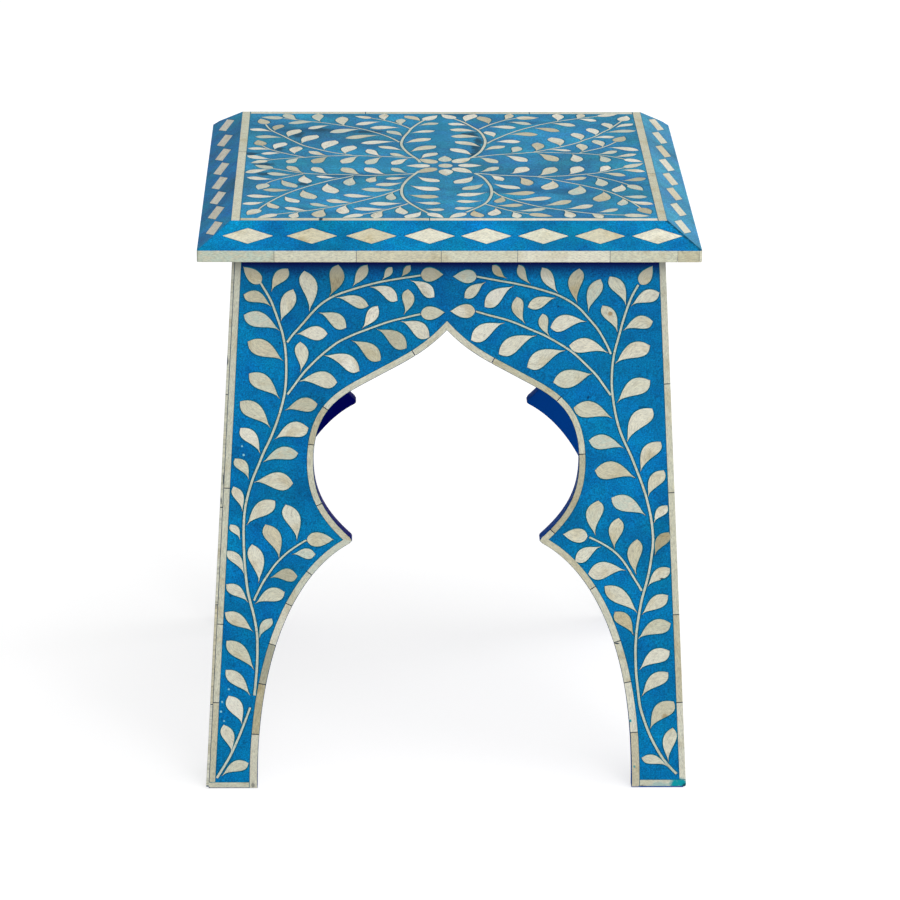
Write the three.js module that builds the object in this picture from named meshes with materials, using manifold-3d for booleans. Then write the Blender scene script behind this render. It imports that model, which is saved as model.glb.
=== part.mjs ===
import * as THREE from 'three'
import { mergeVertices } from 'three/addons/utils/BufferGeometryUtils.js'
import Module from 'manifold-3d'

// Square inlaid stool: a flat seat with sloped margins on four splayed panels, each cut with a
// pointed arch. Every face is a thin layer of blue resin and bone strips glued to a wooden board.
// Millimetres, +Z up, origin on the floor under the middle of the seat, front towards -Y.

const wasm = await Module()
wasm.setup()

// Overall sizes
const seatWidth = 380
const stoolHeight = 456
const splayAngle = THREE.MathUtils.degToRad(3.25)

// Layers
const inlayThickness = 2
const boardThickness = 10.5
const glueLine = 0.3
const overrun = 20

// Seat
const marginWidth = 25
const marginRise = 16.5
const bandHeight = 9
const fieldBorderWidth = 7

// Panels, measured on their outer faces
const seatOverhang = 26
const stileStripWidth = 5.2
const archStripWidth = 5.2
const footStripWidth = 6.5
const footStripHeight = 5.8
const footRelief = 1

// Arch: it stands a little to the left of the panel's middle. Its key points are shares of its
// height, and of its half width at the foot
const archOffset = 1.3
const crownMargin = 60.5
const footWidth = 41.65
const cuspSetback = 4
const turnHeightShare = 0.9
const turnWidthShare = 0.3679
const jambHeightShare = 0.7176
const jambWidthShare = 0.6948
const cuspHeightShare = 0.5476
const cuspWidthShare = 0.4823

// Directions in which the arch leaves its key points, from the horizontal
const apexAngle = THREE.MathUtils.degToRad(-47)
const turnAngle = THREE.MathUtils.degToRad(-29)
const plumbAngle = THREE.MathUtils.degToRad(-90)
const cuspUpAngle = THREE.MathUtils.degToRad(43)
const cuspDownAngle = THREE.MathUtils.degToRad(-29)

// Handles of the arch curves, start and end, as shares of the straight line between their ends
const crownShares = [0.38, 0.36]
const shoulderShares = [0.34, 0.54]
const haunchShares = [0.33, 0.46]
const legShares = [0.2, 0.56]
const crownSteps = 7
const shoulderSteps = 10
const haunchSteps = 8
const cuspSteps = 4
const legSteps = 16

// Joinery under the seat
const cleatClearance = 10
const cleatWidth = 18
const cleatHeight = 18
const blockLeg = 46
const blockHeight = 42
const screwInsetShare = 0.3
const screwShankRadius = 2
const screwHeadRadius = 4
const screwHeadHeight = 2.6
const screwBite = 12
const screwPointLength = 4
const screwClearance = 0.3
const roundSides = 16

// Finishes
const resinBlue = { color: 0x0a6fae, roughness: 0.3, metalness: 0 }
const boneCream = { color: 0xcfc8b2, roughness: 0.42, metalness: 0 }
const navyPaint = { color: 0x0c1c5c, roughness: 0.5, metalness: 0 }
const bareTimber = { color: 0xa98558, roughness: 0.75, metalness: 0 }
const zincSteel = { color: 0xb8bcc0, roughness: 0.35, metalness: 0.9 }

const seatHalf = seatWidth / 2
const fieldHalf = seatHalf - marginWidth
const panelTop = stoolHeight - marginRise - bandHeight
const bandTop = panelTop + bandHeight
const marginSlope = Math.hypot(marginWidth, marginRise)
const splaySlope = Math.tan(splayAngle)
const panelTopHalf = seatHalf - seatOverhang

// Half width of the panels' outer faces at a height.
function outerHalf(height) {
  return panelTopHalf + (panelTop - height) * splaySlope
}

// A thickness square to a splayed panel, measured on the level.
function onLevel(thickness) {
  return thickness / Math.cos(splayAngle)
}

const inlayDepth = onLevel(inlayThickness)
const boardFaceDepth = onLevel(inlayThickness + glueLine)
const boardBackDepth = onLevel(inlayThickness + glueLine + boardThickness)

const stool = new THREE.Group()

function addMesh(group, name, geometry, finish) {
  const mesh = new THREE.Mesh(geometry, new THREE.MeshStandardMaterial(finish))
  mesh.name = name
  group.add(mesh)
  return mesh
}

function toManifold(geometry) {
  const bare = geometry.index ? geometry.toNonIndexed() : geometry.clone()
  bare.deleteAttribute('normal')
  bare.deleteAttribute('uv')
  const merged = mergeVertices(bare)
  return new wasm.Manifold(new wasm.Mesh({
    numProp: 3,
    vertProperties: new Float32Array(merged.attributes.position.array),
    triVerts: new Uint32Array(merged.index.array)
  }))
}

function toGeometry(manifold) {
  const mesh = manifold.getMesh()
  const geometry = new THREE.BufferGeometry()
  geometry.setAttribute('position', new THREE.BufferAttribute(new Float32Array(mesh.vertProperties), 3))
  geometry.setIndex(new THREE.BufferAttribute(new Uint32Array(mesh.triVerts), 1))
  geometry.computeVertexNormals()
  return geometry
}

function extrude(points, depth) {
  return new THREE.ExtrudeGeometry(new THREE.Shape(points), { depth, bevelEnabled: false })
}

// A block between two corners.
function block(low, high) {
  const size = high.clone().sub(low)
  const middle = low.clone().add(high).multiplyScalar(0.5)
  return new THREE.BoxGeometry(size.x, size.y, size.z).translate(middle.x, middle.y, middle.z)
}

// A solid of revolution with four sides is a square frustum: radii are half widths.
function squareTurned(halfWidths, heights) {
  const corner = Math.SQRT2
  const profile = halfWidths.map((half, i) => new THREE.Vector2(half * corner, heights[i]))
  return new THREE.LatheGeometry(profile, 4, Math.PI / 4).rotateX(Math.PI / 2)
}

// The quarter of the plan that belongs to the front, short of the mitres by half a glue line.
function frontQuarter() {
  const setback = glueLine / Math.SQRT2
  const reach = outerHalf(0) + overrun
  const plan = [
    new THREE.Vector2(0, -setback),
    new THREE.Vector2(-reach, -reach - setback),
    new THREE.Vector2(reach, -reach - setback)
  ]
  return extrude(plan, stoolHeight + 2 * overrun).translate(0, 0, -overrun)
}

const mitreWedge = toManifold(frontQuarter())

function mitred(geometry) {
  return toGeometry(toManifold(geometry).intersect(mitreWedge))
}

// Carries an outline drawn as (across, height) into the front panel: the solid runs outward from
// innerDepth to outerDepth behind the outer face, and leans with the splay.
function panelSolid(points, innerDepth, outerDepth) {
  const lean = new THREE.Matrix4().set(
    1, 0, 0, 0,
    0, splaySlope, -1, innerDepth - outerHalf(0),
    0, 1, 0, 0,
    0, 0, 0, 1
  )
  return extrude(points, innerDepth - outerDepth).applyMatrix4(lean)
}

function direction(angle) {
  return new THREE.Vector2(Math.cos(angle), Math.sin(angle))
}

// One curve of the arch between two points, leaving and arriving along the given directions.
function sweep(from, fromAngle, to, toAngle, shares, steps) {
  const chord = from.distanceTo(to)
  const leave = from.clone().addScaledVector(direction(fromAngle), chord * shares[0])
  const arrive = to.clone().addScaledVector(direction(toAngle), -chord * shares[1])
  return new THREE.CubicBezierCurve(from, leave, arrive, to).getPoints(steps)
}

// Right half of the arch from the apex down to the cusp, and from the cusp down to the foot.
const apexHeight = panelTop - crownMargin
const footHalfWidth = outerHalf(0) - footWidth

function archPoint(widthShare, heightShare) {
  return new THREE.Vector2(footHalfWidth * widthShare, apexHeight * heightShare)
}

const apex = archPoint(0, 1)
const turn = archPoint(turnWidthShare, turnHeightShare)
const jamb = archPoint(jambWidthShare, jambHeightShare)
const cusp = archPoint(cuspWidthShare, cuspHeightShare)
const cuspAbove = cusp.clone().addScaledVector(direction(cuspUpAngle), cuspSetback)
const cuspBelow = cusp.clone().addScaledVector(direction(cuspDownAngle), cuspSetback)
const archFoot = new THREE.Vector2(footHalfWidth, 0)

const upperArch = [
  ...sweep(apex, apexAngle, turn, turnAngle, crownShares, crownSteps),
  ...sweep(turn, turnAngle, jamb, plumbAngle, shoulderShares, shoulderSteps).slice(1),
  ...sweep(jamb, plumbAngle, cuspAbove, cuspUpAngle + Math.PI, haunchShares, haunchSteps).slice(1)
]
const cuspNose = new THREE.QuadraticBezierCurve(cuspAbove, cusp, cuspBelow).getPoints(cuspSteps)
const lowerArch = sweep(cuspBelow, cuspDownAngle, archFoot, plumbAngle, legShares, legSteps)

// Moves a line of points sideways into the board, by a width that runs from one end to the other.
function inset(points, startWidth, endWidth) {
  return points.map((point, i) => {
    const before = points[Math.max(i - 1, 0)]
    const after = points[Math.min(i + 1, points.length - 1)]
    const along = after.clone().sub(before).normalize()
    const width = THREE.MathUtils.lerp(startWidth, endWidth, i / (points.length - 1))
    return new THREE.Vector2(point.x - along.y * width, point.y + along.x * width)
  })
}

// Crossing of two straight pieces, or null where they miss.
function crossing(a, b, c, d) {
  const first = b.clone().sub(a)
  const second = d.clone().sub(c)
  const turnBetween = first.cross(second)
  if (turnBetween === 0) return null
  const alongFirst = c.clone().sub(a).cross(second) / turnBetween
  const alongSecond = c.clone().sub(a).cross(first) / turnBetween
  const meets = alongFirst >= 0 && alongFirst <= 1 && alongSecond >= 0 && alongSecond <= 1
  return meets ? a.clone().addScaledVector(first, alongFirst) : null
}

// Joins two lines of points where they cross, and drops what lies past the crossing.
function joinAtCrossing(first, second) {
  for (let i = 0; i < first.length - 1; i++) {
    for (let j = 0; j < second.length - 1; j++) {
      const meet = crossing(first[i], first[i + 1], second[j], second[j + 1])
      if (meet) return [...first.slice(0, i + 1), meet, ...second.slice(j + 1)]
    }
  }
  return [...first, ...second]
}

// The arch moved into the board by the strip and the glue beside it, from the apex to the foot.
function archInset(extra) {
  const upper = inset(upperArch, archStripWidth + extra, archStripWidth + extra)
  const lower = inset(lowerArch, archStripWidth + extra, footStripWidth + extra)
  const crown = new THREE.Vector2(0, apexHeight + (archStripWidth + extra) / Math.cos(apexAngle))
  return [crown, ...joinAtCrossing(upper, lower)]
}

// The part of a falling line of points above a height, ended exactly on it.
function above(points, height) {
  const kept = points.filter((point) => point.y > height)
  const last = kept[kept.length - 1]
  const next = points[kept.length] ?? last.clone().setY(height)
  const share = (last.y - height) / (last.y - next.y)
  return [...kept, last.clone().lerp(next, share).setY(height)]
}

function mirrored(points) {
  return points.map((point) => new THREE.Vector2(-point.x, point.y)).reverse()
}

function shifted(points, shift) {
  return points.map((point) => new THREE.Vector2(point.x + shift, point.y))
}

const archLine = [...upperArch, ...cuspNose.slice(1), ...lowerArch.slice(1)]
const stripBottom = footRelief
const stripTop = panelTop - glueLine
const footStripTop = stripBottom + footStripHeight

// The two halves of a panel, each drawn as if it were the right one. The right edge laps over the
// next panel's layer, and the left edge stops short of the layer of the panel beside it.
const halves = [
  { hand: 'right', lap: 0, shift: -archOffset },
  { hand: 'left', lap: inlayDepth + onLevel(glueLine), shift: archOffset }
]
const [rightHalf, leftHalf] = halves

// A point on the line that runs along a stile at a distance from the corner.
function stilePoint(distance, height) {
  return new THREE.Vector2(outerHalf(height) - distance, height)
}

// Joins the lines of the two halves, each given from the arch's middle outward, into one outline.
function wholeOutline(halfLine) {
  return [...mirrored(halfLine(leftHalf)), ...halfLine(rightHalf).slice(1)]
}

function boardOutline() {
  return wholeOutline((half) => [
    ...shifted(archLine, half.shift),
    stilePoint(boardFaceDepth, 0),
    stilePoint(boardFaceDepth, stripTop)
  ])
}

function fieldOutline() {
  const low = footStripTop + glueLine
  const arch = above(archInset(glueLine), low)
  return wholeOutline((half) => [
    ...shifted(arch, half.shift),
    stilePoint(half.lap + stileStripWidth + glueLine, low),
    stilePoint(half.lap + stileStripWidth + glueLine, stripTop)
  ])
}

function stileOutline(half) {
  const inner = half.lap + stileStripWidth
  return [
    stilePoint(inner, footStripTop + glueLine),
    stilePoint(half.lap, footStripTop + glueLine),
    stilePoint(half.lap, stripTop),
    stilePoint(inner, stripTop)
  ]
}

function footOutline(half) {
  const arch = shifted(archInset(glueLine), half.shift)
  return [
    above(arch, stripBottom).pop(),
    stilePoint(half.lap, stripBottom),
    stilePoint(half.lap, footStripTop),
    above(arch, footStripTop).pop()
  ]
}

// Half of the strip round the arch, stopping half a glue line short of the middle.
function archStripOutline(half) {
  const edge = above(archLine, stripBottom)
  const inner = above(archInset(0), stripBottom)
  const middle = glueLine / 2
  const drop = middle * Math.tan(apexAngle)
  const low = new THREE.Vector2(middle, apexHeight + drop)
  const high = new THREE.Vector2(middle, inner[0].y + drop)
  return shifted([low, ...edge.slice(1), ...inner.slice(1).reverse(), high], half.shift)
}

const sides = ['front', 'right', 'back', 'left']

// One panel: a board with its layer of resin and bone, and the cleat behind its top.
function buildPanel(side, quarterTurns) {
  const panel = new THREE.Group()
  panel.rotation.z = quarterTurns * Math.PI / 2
  addMesh(panel, `panel_board_${side}`,
    mitred(panelSolid(boardOutline(), boardBackDepth, boardFaceDepth)), navyPaint)
  addMesh(panel, `panel_field_${side}`, panelSolid(fieldOutline(), inlayDepth, 0), resinBlue)
  const strips = [
    ['stile_strip', stileOutline],
    ['foot_strip', footOutline],
    ['arch_strip', archStripOutline]
  ]
  for (const [name, outline] of strips) {
    for (const half of halves) {
      const points = half === leftHalf ? mirrored(outline(half)) : outline(half)
      addMesh(panel, `${name}_${side}_${half.hand}`, panelSolid(points, inlayDepth, 0), boneCream)
    }
  }
  addMesh(panel, `cleat_${side}`, cleatSolid(), bareTimber)
  stool.add(panel)
}

// A cleat runs between the corner blocks, a clearance short of each.
function cleatSolid() {
  const top = panelTop - glueLine
  const half = blockHalf(top) - blockLeg - cleatClearance
  const outline = [
    new THREE.Vector2(-half, top - cleatHeight),
    new THREE.Vector2(half, top - cleatHeight),
    new THREE.Vector2(half, top),
    new THREE.Vector2(-half, top)
  ]
  const near = boardBackDepth + onLevel(glueLine)
  return panelSolid(outline, near + cleatWidth, near)
}

sides.forEach(buildPanel)

// Distance of a layer's inner face from the margin's outer face, measured across the level.
function marginShift(thickness) {
  return thickness * marginSlope / marginRise
}

// Height of the sloped plane that lies a thickness under the margin's face, at a half width.
function marginHeight(half, thickness) {
  return bandTop + (seatHalf - marginShift(thickness) - half) * marginRise / marginWidth
}

// The half width at which that plane reaches a height.
function marginHalf(height, thickness) {
  return seatHalf - marginShift(thickness) - (height - bandTop) * marginWidth / marginRise
}

const seatUnder = stoolHeight - inlayThickness - glueLine
const backing = inlayThickness + glueLine

// The wooden board under the seat, with its four sloped edges and a pilot hole for each screw.
function topBoard() {
  const half = seatHalf - backing
  const board = squareTurned(
    [0, half, half, marginHalf(seatUnder, backing), 0],
    [panelTop, panelTop, marginHeight(half, backing), seatUnder, seatUnder]
  )
  let solid = toManifold(board)
  for (const place of screwPlaces()) {
    solid = solid.subtract(toManifold(screwBody(screwClearance).translate(place.x, place.y, 0)))
  }
  return toGeometry(solid)
}

// One sloped margin of the seat, seated on the edge band and mitred at the hips.
function marginSolid() {
  const low = bandTop + glueLine
  const high = fieldHalf + glueLine
  const section = [
    new THREE.Vector2(marginHalf(low, 0), low),
    new THREE.Vector2(high, marginHeight(high, 0)),
    new THREE.Vector2(high, marginHeight(high, inlayThickness)),
    new THREE.Vector2(marginHalf(low, inlayThickness), low)
  ]
  const along = extrude(section, seatWidth).translate(0, 0, -seatHalf)
  const toFront = new THREE.Matrix4().set(
    0, 0, -1, 0,
    -1, 0, 0, 0,
    0, 1, 0, 0,
    0, 0, 0, 1
  )
  return mitred(along.applyMatrix4(toFront))
}

// One bone band on the edge: its right end laps over the next band, its left end butts on one.
function bandSolid() {
  const inner = seatHalf - inlayThickness
  return block(
    new THREE.Vector3(-inner + glueLine, -seatHalf, panelTop),
    new THREE.Vector3(seatHalf, -inner, bandTop)
  )
}

function buildSeatSides(side, quarterTurns) {
  const edge = new THREE.Group()
  edge.rotation.z = quarterTurns * Math.PI / 2
  addMesh(edge, `seat_margin_${side}`, marginSolid(), resinBlue)
  addMesh(edge, `edge_band_${side}`, bandSolid(), boneCream)
  const runsThrough = side === 'left' || side === 'right'
  const inner = fieldHalf - fieldBorderWidth
  const reach = runsThrough ? fieldHalf : inner - glueLine
  const border = block(
    new THREE.Vector3(-reach, -fieldHalf, stoolHeight - inlayThickness),
    new THREE.Vector3(reach, -inner, stoolHeight)
  )
  addMesh(edge, `field_border_${side}`, border, boneCream)
  stool.add(edge)
}

sides.forEach(buildSeatSides)

function seatField() {
  const half = fieldHalf - fieldBorderWidth - glueLine
  return block(
    new THREE.Vector3(-half, -half, stoolHeight - inlayThickness),
    new THREE.Vector3(half, half, stoolHeight)
  )
}

// Screws: one through each corner block, upright, point up in the top board.
const blockTop = panelTop - glueLine
const blockBottom = blockTop - blockHeight

// Half width of the corner blocks' outer faces at a height.
function blockHalf(height) {
  return outerHalf(height) - boardBackDepth - onLevel(glueLine)
}

function screwPlaces() {
  const away = blockHalf(blockTop) - blockLeg * screwInsetShare
  return [
    new THREE.Vector2(-away, -away),
    new THREE.Vector2(away, -away),
    new THREE.Vector2(away, away),
    new THREE.Vector2(-away, away)
  ]
}

// The screw, or with room added all round the hole that it goes in.
function screwBody(room) {
  const shank = screwShankRadius + room
  const head = screwHeadRadius + room
  const bottom = room > 0 ? blockBottom - overrun : blockBottom
  const tip = panelTop + screwBite + room
  const profile = [
    new THREE.Vector2(0, bottom),
    new THREE.Vector2(head, bottom),
    new THREE.Vector2(head, blockBottom + room),
    new THREE.Vector2(shank, blockBottom + screwHeadHeight + room),
    new THREE.Vector2(shank, tip - screwPointLength),
    new THREE.Vector2(0, tip)
  ]
  const spread = profile.filter((point, i) => i === 0 || point.distanceTo(profile[i - 1]) > 0)
  return new THREE.LatheGeometry(spread, roundSides).rotateX(Math.PI / 2)
}

// A triangular block in an upper corner, leaning out with both panels, drilled for its screw.
function cornerBlock(place) {
  const half = blockHalf(0)
  const plan = [
    new THREE.Vector2(-half, -half),
    new THREE.Vector2(blockLeg - half, -half),
    new THREE.Vector2(-half, blockLeg - half)
  ]
  const lean = new THREE.Matrix4().set(
    1, 0, splaySlope, 0,
    0, 1, splaySlope, 0,
    0, 0, 1, 0,
    0, 0, 0, 1
  )
  const prism = extrude(plan, blockHeight).translate(0, 0, blockBottom).applyMatrix4(lean)
  const hole = toManifold(screwBody(screwClearance).translate(place.x, place.y, 0))
  return toGeometry(toManifold(prism).subtract(hole))
}

const corners = ['front_left', 'front_right', 'back_right', 'back_left']
const [firstPlace] = screwPlaces()

function buildCorner(corner, quarterTurns) {
  const group = new THREE.Group()
  group.rotation.z = quarterTurns * Math.PI / 2
  addMesh(group, `corner_block_${corner}`, cornerBlock(firstPlace), bareTimber)
  const screw = screwBody(0).translate(firstPlace.x, firstPlace.y, 0)
  addMesh(group, `seat_screw_${corner}`, screw, zincSteel)
  stool.add(group)
}

corners.forEach(buildCorner)

addMesh(stool, 'top_board', topBoard(), navyPaint)
addMesh(stool, 'seat_field', seatField(), resinBlue)

export default stool
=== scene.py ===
import math

import bpy
import numpy as np
from mathutils import Matrix, Vector
from mathutils.geometry import delaunay_2d_cdt


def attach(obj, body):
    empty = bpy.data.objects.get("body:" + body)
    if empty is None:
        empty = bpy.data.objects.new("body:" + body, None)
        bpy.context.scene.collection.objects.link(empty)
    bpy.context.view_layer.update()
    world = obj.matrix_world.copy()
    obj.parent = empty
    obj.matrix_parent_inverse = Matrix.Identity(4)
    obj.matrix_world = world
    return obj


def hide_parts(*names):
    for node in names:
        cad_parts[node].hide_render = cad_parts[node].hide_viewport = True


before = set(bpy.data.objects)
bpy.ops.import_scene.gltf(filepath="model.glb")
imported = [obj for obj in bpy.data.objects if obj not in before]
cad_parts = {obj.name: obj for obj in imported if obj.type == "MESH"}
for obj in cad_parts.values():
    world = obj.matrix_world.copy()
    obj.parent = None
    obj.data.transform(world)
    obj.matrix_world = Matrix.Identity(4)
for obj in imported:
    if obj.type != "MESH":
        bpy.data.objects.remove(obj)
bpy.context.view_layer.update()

# Inlaid stool, dressed round its CAD solids. The stool's own sizes are written in millimetres and become
# metres as each mesh is made. The sections follow the making: the panels, the seat, then what is inside.

# Camera: about 3.3 m in front of the stool and 1.3 m up, looking down on the seat through a long lens. Its
# place is in metres, its turns are in radians, and its focal length is in pixels of the picture.
camera_place = (-0.065552, -3.253211, 1.331361)
camera_yaw = -0.021759
camera_pitch = 0.330142
camera_roll = 0.006645
picture_width = 900
focal_length = 4245.02
sensor_width = 36

camera_data = bpy.data.cameras.new("camera")
camera_data.sensor_width = sensor_width
camera_data.lens = focal_length / picture_width * sensor_width
camera = bpy.data.objects.new("camera", camera_data)
camera.matrix_world = (
    Matrix.Translation(camera_place)
    @ Matrix.Rotation(camera_yaw, 4, "Z")
    @ Matrix.Rotation(-camera_pitch, 4, "X")
    @ Matrix.Rotation(-camera_roll, 4, "Y")
    @ Matrix.Rotation(math.radians(90), 4, "X")
)
bpy.context.scene.collection.objects.link(camera)
bpy.context.scene.camera = camera
bpy.context.scene.view_settings.view_transform = "Standard"


def add_node(tree, kind, inputs=(), **settings):
    """Adds a node with its settings. Each input is a value, or another node's output to link from."""
    node = tree.nodes.new(kind)
    for name, value in settings.items():
        setattr(node, name, value)
    for key, value in dict(inputs).items():
        if isinstance(value, bpy.types.NodeSocket):
            tree.links.new(value, node.inputs[key])
        else:
            node.inputs[key].default_value = value
    return node


def calc(tree, operation, first, second=0.0, clamp=False):
    """One step of arithmetic between two numbers or outputs."""
    inputs = {0: first, 1: second}
    return add_node(tree, "ShaderNodeMath", inputs, operation=operation, use_clamp=clamp).outputs[0]


def times_plus(tree, value, factor, addend):
    """A value times a factor, plus an addend."""
    return calc(tree, "ADD", calc(tree, "MULTIPLY", value, factor), addend)


def ramp(tree, value, low, high):
    """0 where the value is below low, 1 where it is above high, and smooth in between."""
    inputs = {"Value": value, "From Min": low, "From Max": high}
    return add_node(tree, "ShaderNodeMapRange", inputs, interpolation_type="SMOOTHSTEP").outputs[0]


def mix(tree, share, first, second, mode="MIX"):
    """Blends two colours by a share."""
    inputs = {0: share, 6: first, 7: second}
    return add_node(tree, "ShaderNodeMix", inputs, data_type="RGBA", blend_type=mode).outputs[2]


def vector_calc(tree, operation, first, second=(0, 0, 0), output="Vector"):
    """One step of arithmetic between two vectors or outputs. A length comes out as its Value."""
    inputs = {0: first, 1: second}
    return add_node(tree, "ShaderNodeVectorMath", inputs, operation=operation).outputs[output]


def object_place(tree):
    """The place of a point in its object's own frame, in metres."""
    return add_node(tree, "ShaderNodeTexCoord").outputs["Object"]


# Studio: a plain white floor, an even white dome, and three large soft lights: in front of the stool,
# above it, and a weak one on its right. The background is white to the eye and adds no light.
white = (1, 1, 1, 1)
floor_half = 12.0
floor_white = (0.45, 0.45, 0.45, 1)
floor_near = 0.5
floor_far = 1.5
floor_lift_near = 0.73
floor_lift_far = 0.82
dome_level = 0.3
background_level = 1.0

floor_mesh = bpy.data.meshes.new("floor")
floor_mesh.from_pydata(
    [(-floor_half, -floor_half, 0), (floor_half, -floor_half, 0),
     (floor_half, floor_half, 0), (-floor_half, floor_half, 0)], [], [(0, 1, 2, 3)])
floor = bpy.data.objects.new("floor", floor_mesh)
bpy.context.scene.collection.objects.link(floor)


def seen_directly(tree):
    """1 for what the camera, a reflection or clear glass sees, and 0 for the light that things receive."""
    path = add_node(tree, "ShaderNodeLightPath").outputs
    direct = calc(tree, "MAXIMUM", path["Is Camera Ray"], path["Is Glossy Ray"])
    return calc(tree, "MAXIMUM", direct, path["Is Transmission Ray"])


floor_paint = bpy.data.materials.new("floor_white")
floor_paint.use_nodes = True
tree = floor_paint.node_tree
tree.nodes.clear()
matte = add_node(tree, "ShaderNodeBsdfDiffuse", {"Color": floor_white}).outputs[0]
away = vector_calc(tree, "LENGTH", object_place(tree), output="Value")
farness = ramp(tree, away, floor_near, floor_far)
lift = times_plus(tree, farness, floor_lift_far - floor_lift_near, floor_lift_near)
lift = calc(tree, "MULTIPLY", seen_directly(tree), lift)
glow = add_node(tree, "ShaderNodeEmission", {"Color": white, "Strength": lift}).outputs[0]
both = add_node(tree, "ShaderNodeAddShader", {0: matte, 1: glow}).outputs[0]
add_node(tree, "ShaderNodeOutputMaterial", {"Surface": both})
floor_mesh.materials.append(floor_paint)

world = bpy.data.worlds.new("studio")
world.use_nodes = True
bpy.context.scene.world = world
tree = world.node_tree
tree.nodes.clear()
strength = times_plus(tree, seen_directly(tree), background_level - dome_level, dome_level)
sky = add_node(tree, "ShaderNodeBackground", {"Color": white, "Strength": strength}).outputs[0]
add_node(tree, "ShaderNodeOutputWorld", {"Surface": sky})


def soft_light(name, place, aim, width, height, power):
    """A rectangular light at a place in metres, turned towards another."""
    data = bpy.data.lights.new(name, "AREA")
    data.shape = "RECTANGLE"
    data.size = width
    data.size_y = height
    data.energy = power
    lamp = bpy.data.objects.new(name, data)
    lamp.rotation_mode = "QUATERNION"
    lamp.rotation_quaternion = (Vector(aim) - Vector(place)).to_track_quat("-Z", "Y")
    lamp.location = place
    bpy.context.scene.collection.objects.link(lamp)


soft_light("front_light", (0.9, -4.1, 1.5), (0, 0, 0.25), 3.2, 2.3, 112)
soft_light("top_light", (1.1, -0.7, 3.6), (0, 0, 0.4), 2.6, 2.6, 62)
soft_light("side_light", (3.6, 0.9, 1.7), (0, 0, 0.4), 1.8, 1.8, 26)

# Panel boards: four splayed boards of timber, mitred at the corners, each sawn through with the arch.
# Their inner faces and the cut of the arch are painted navy, and the arrises are sanded round. Depths run
# level through the leaning boards, so each is longer than a thickness by the level share.
metre = 0.001
sides = ["front", "right", "back", "left"]
seat_half = 190
seat_top = 456
panel_top = 430.5
panel_top_half = 164
splay_angle = math.radians(3.25)
splay_slope = math.tan(splay_angle)
level_share = 1 / math.cos(splay_angle)
inlay_thickness = 2
board_back_depth = 12.8 * level_share
glue_gap = 0.3
panel_high = panel_top - glue_gap
arris_radius = 1.1

arch_shift = -1.3
apex_height = 370
foot_half_width = 146.797
apex_angle = math.radians(-47)
turn_angle = math.radians(-29)
plumb_angle = math.radians(-90)
cusp_up_angle = math.radians(43)
cusp_down_angle = math.radians(-29)
cusp_setback = 4
turn_point = np.array([54.006, 333.0])
jamb_point = np.array([101.995, 265.512])
cusp_point = np.array([70.8, 202.612])


def outer_half(height):
    """Half width of the panels' outer faces at a height: it grows downwards with the splay."""
    return panel_top_half + (panel_top - height) * splay_slope


def bezier(control, count):
    """Bernstein sum: at t, control point i weighs binomial(n, i) t^i (1 - t)^(n - i)."""
    t = np.linspace(0, 1, count + 1)[:, None]
    n = len(control) - 1
    return sum(math.comb(n, i) * t ** i * (1 - t) ** (n - i) * np.array(p, float)
               for i, p in enumerate(control))


def heading(angle):
    """The unit vector along an angle."""
    return np.array([math.cos(angle), math.sin(angle)])


def sweep(start, start_angle, end, end_angle, shares, count):
    """A cubic curve that leaves and arrives along two angles, with handles as shares of the chord."""
    chord = np.linalg.norm(end - start)
    leave = start + heading(start_angle) * chord * shares[0]
    arrive = end - heading(end_angle) * chord * shares[1]
    return bezier([start, leave, arrive, end], count)


apex_point = np.array([0.0, apex_height])
foot_point = np.array([foot_half_width, 0.0])
cusp_above = cusp_point + heading(cusp_up_angle) * cusp_setback
cusp_below = cusp_point + heading(cusp_down_angle) * cusp_setback
haunch_angle = cusp_up_angle + math.pi
nose = bezier([cusp_above, cusp_point, cusp_below], 12)
nose_middle = len(nose) // 2
upper_arch = np.vstack([
    sweep(apex_point, apex_angle, turn_point, turn_angle, [0.38, 0.36], 24),
    sweep(turn_point, turn_angle, jamb_point, plumb_angle, [0.34, 0.54], 34)[1:],
    sweep(jamb_point, plumb_angle, cusp_above, haunch_angle, [0.33, 0.46], 28)[1:],
])
lower_arch = sweep(cusp_below, cusp_down_angle, foot_point, plumb_angle, [0.2, 0.56], 56)
arch_line = np.vstack([upper_arch, nose[1:], lower_arch[1:]])


def left_normals(line):
    """Unit vectors to the left of a line of points, from the slope between each point's neighbours."""
    along = np.gradient(line, axis=0)
    along /= np.linalg.norm(along, axis=1, keepdims=True)
    return np.stack([-along[:, 1], along[:, 0]], axis=1)


def step_lengths(line):
    """Lengths of the steps between the points of a line."""
    return np.linalg.norm(np.diff(line, axis=0), axis=1)


def travelled(line):
    """How far along a line each of its points lies."""
    return np.r_[0, np.cumsum(step_lengths(line))]


def place_half(line, hand):
    """Puts a right-hand line of the arch on the right (1) or left (-1) half of the panel."""
    return line * [hand, 1] + [arch_shift, 0]


def turned(points, turns):
    """Turns points a number of quarters about the middle of the stool."""
    c = round(math.cos(turns * math.pi / 2))
    s = round(math.sin(turns * math.pi / 2))
    x, y, z = points.T
    return np.stack([x * c - y * s, x * s + y * c, z], axis=1)


def on_panel(points, turns):
    """Carries (across, height, outward) onto a panel's splayed outer face and turns it to its side."""
    x, height, outward = points.T
    return turned(np.stack([x, -outer_half(height) - outward, height], axis=1), turns)


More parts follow.
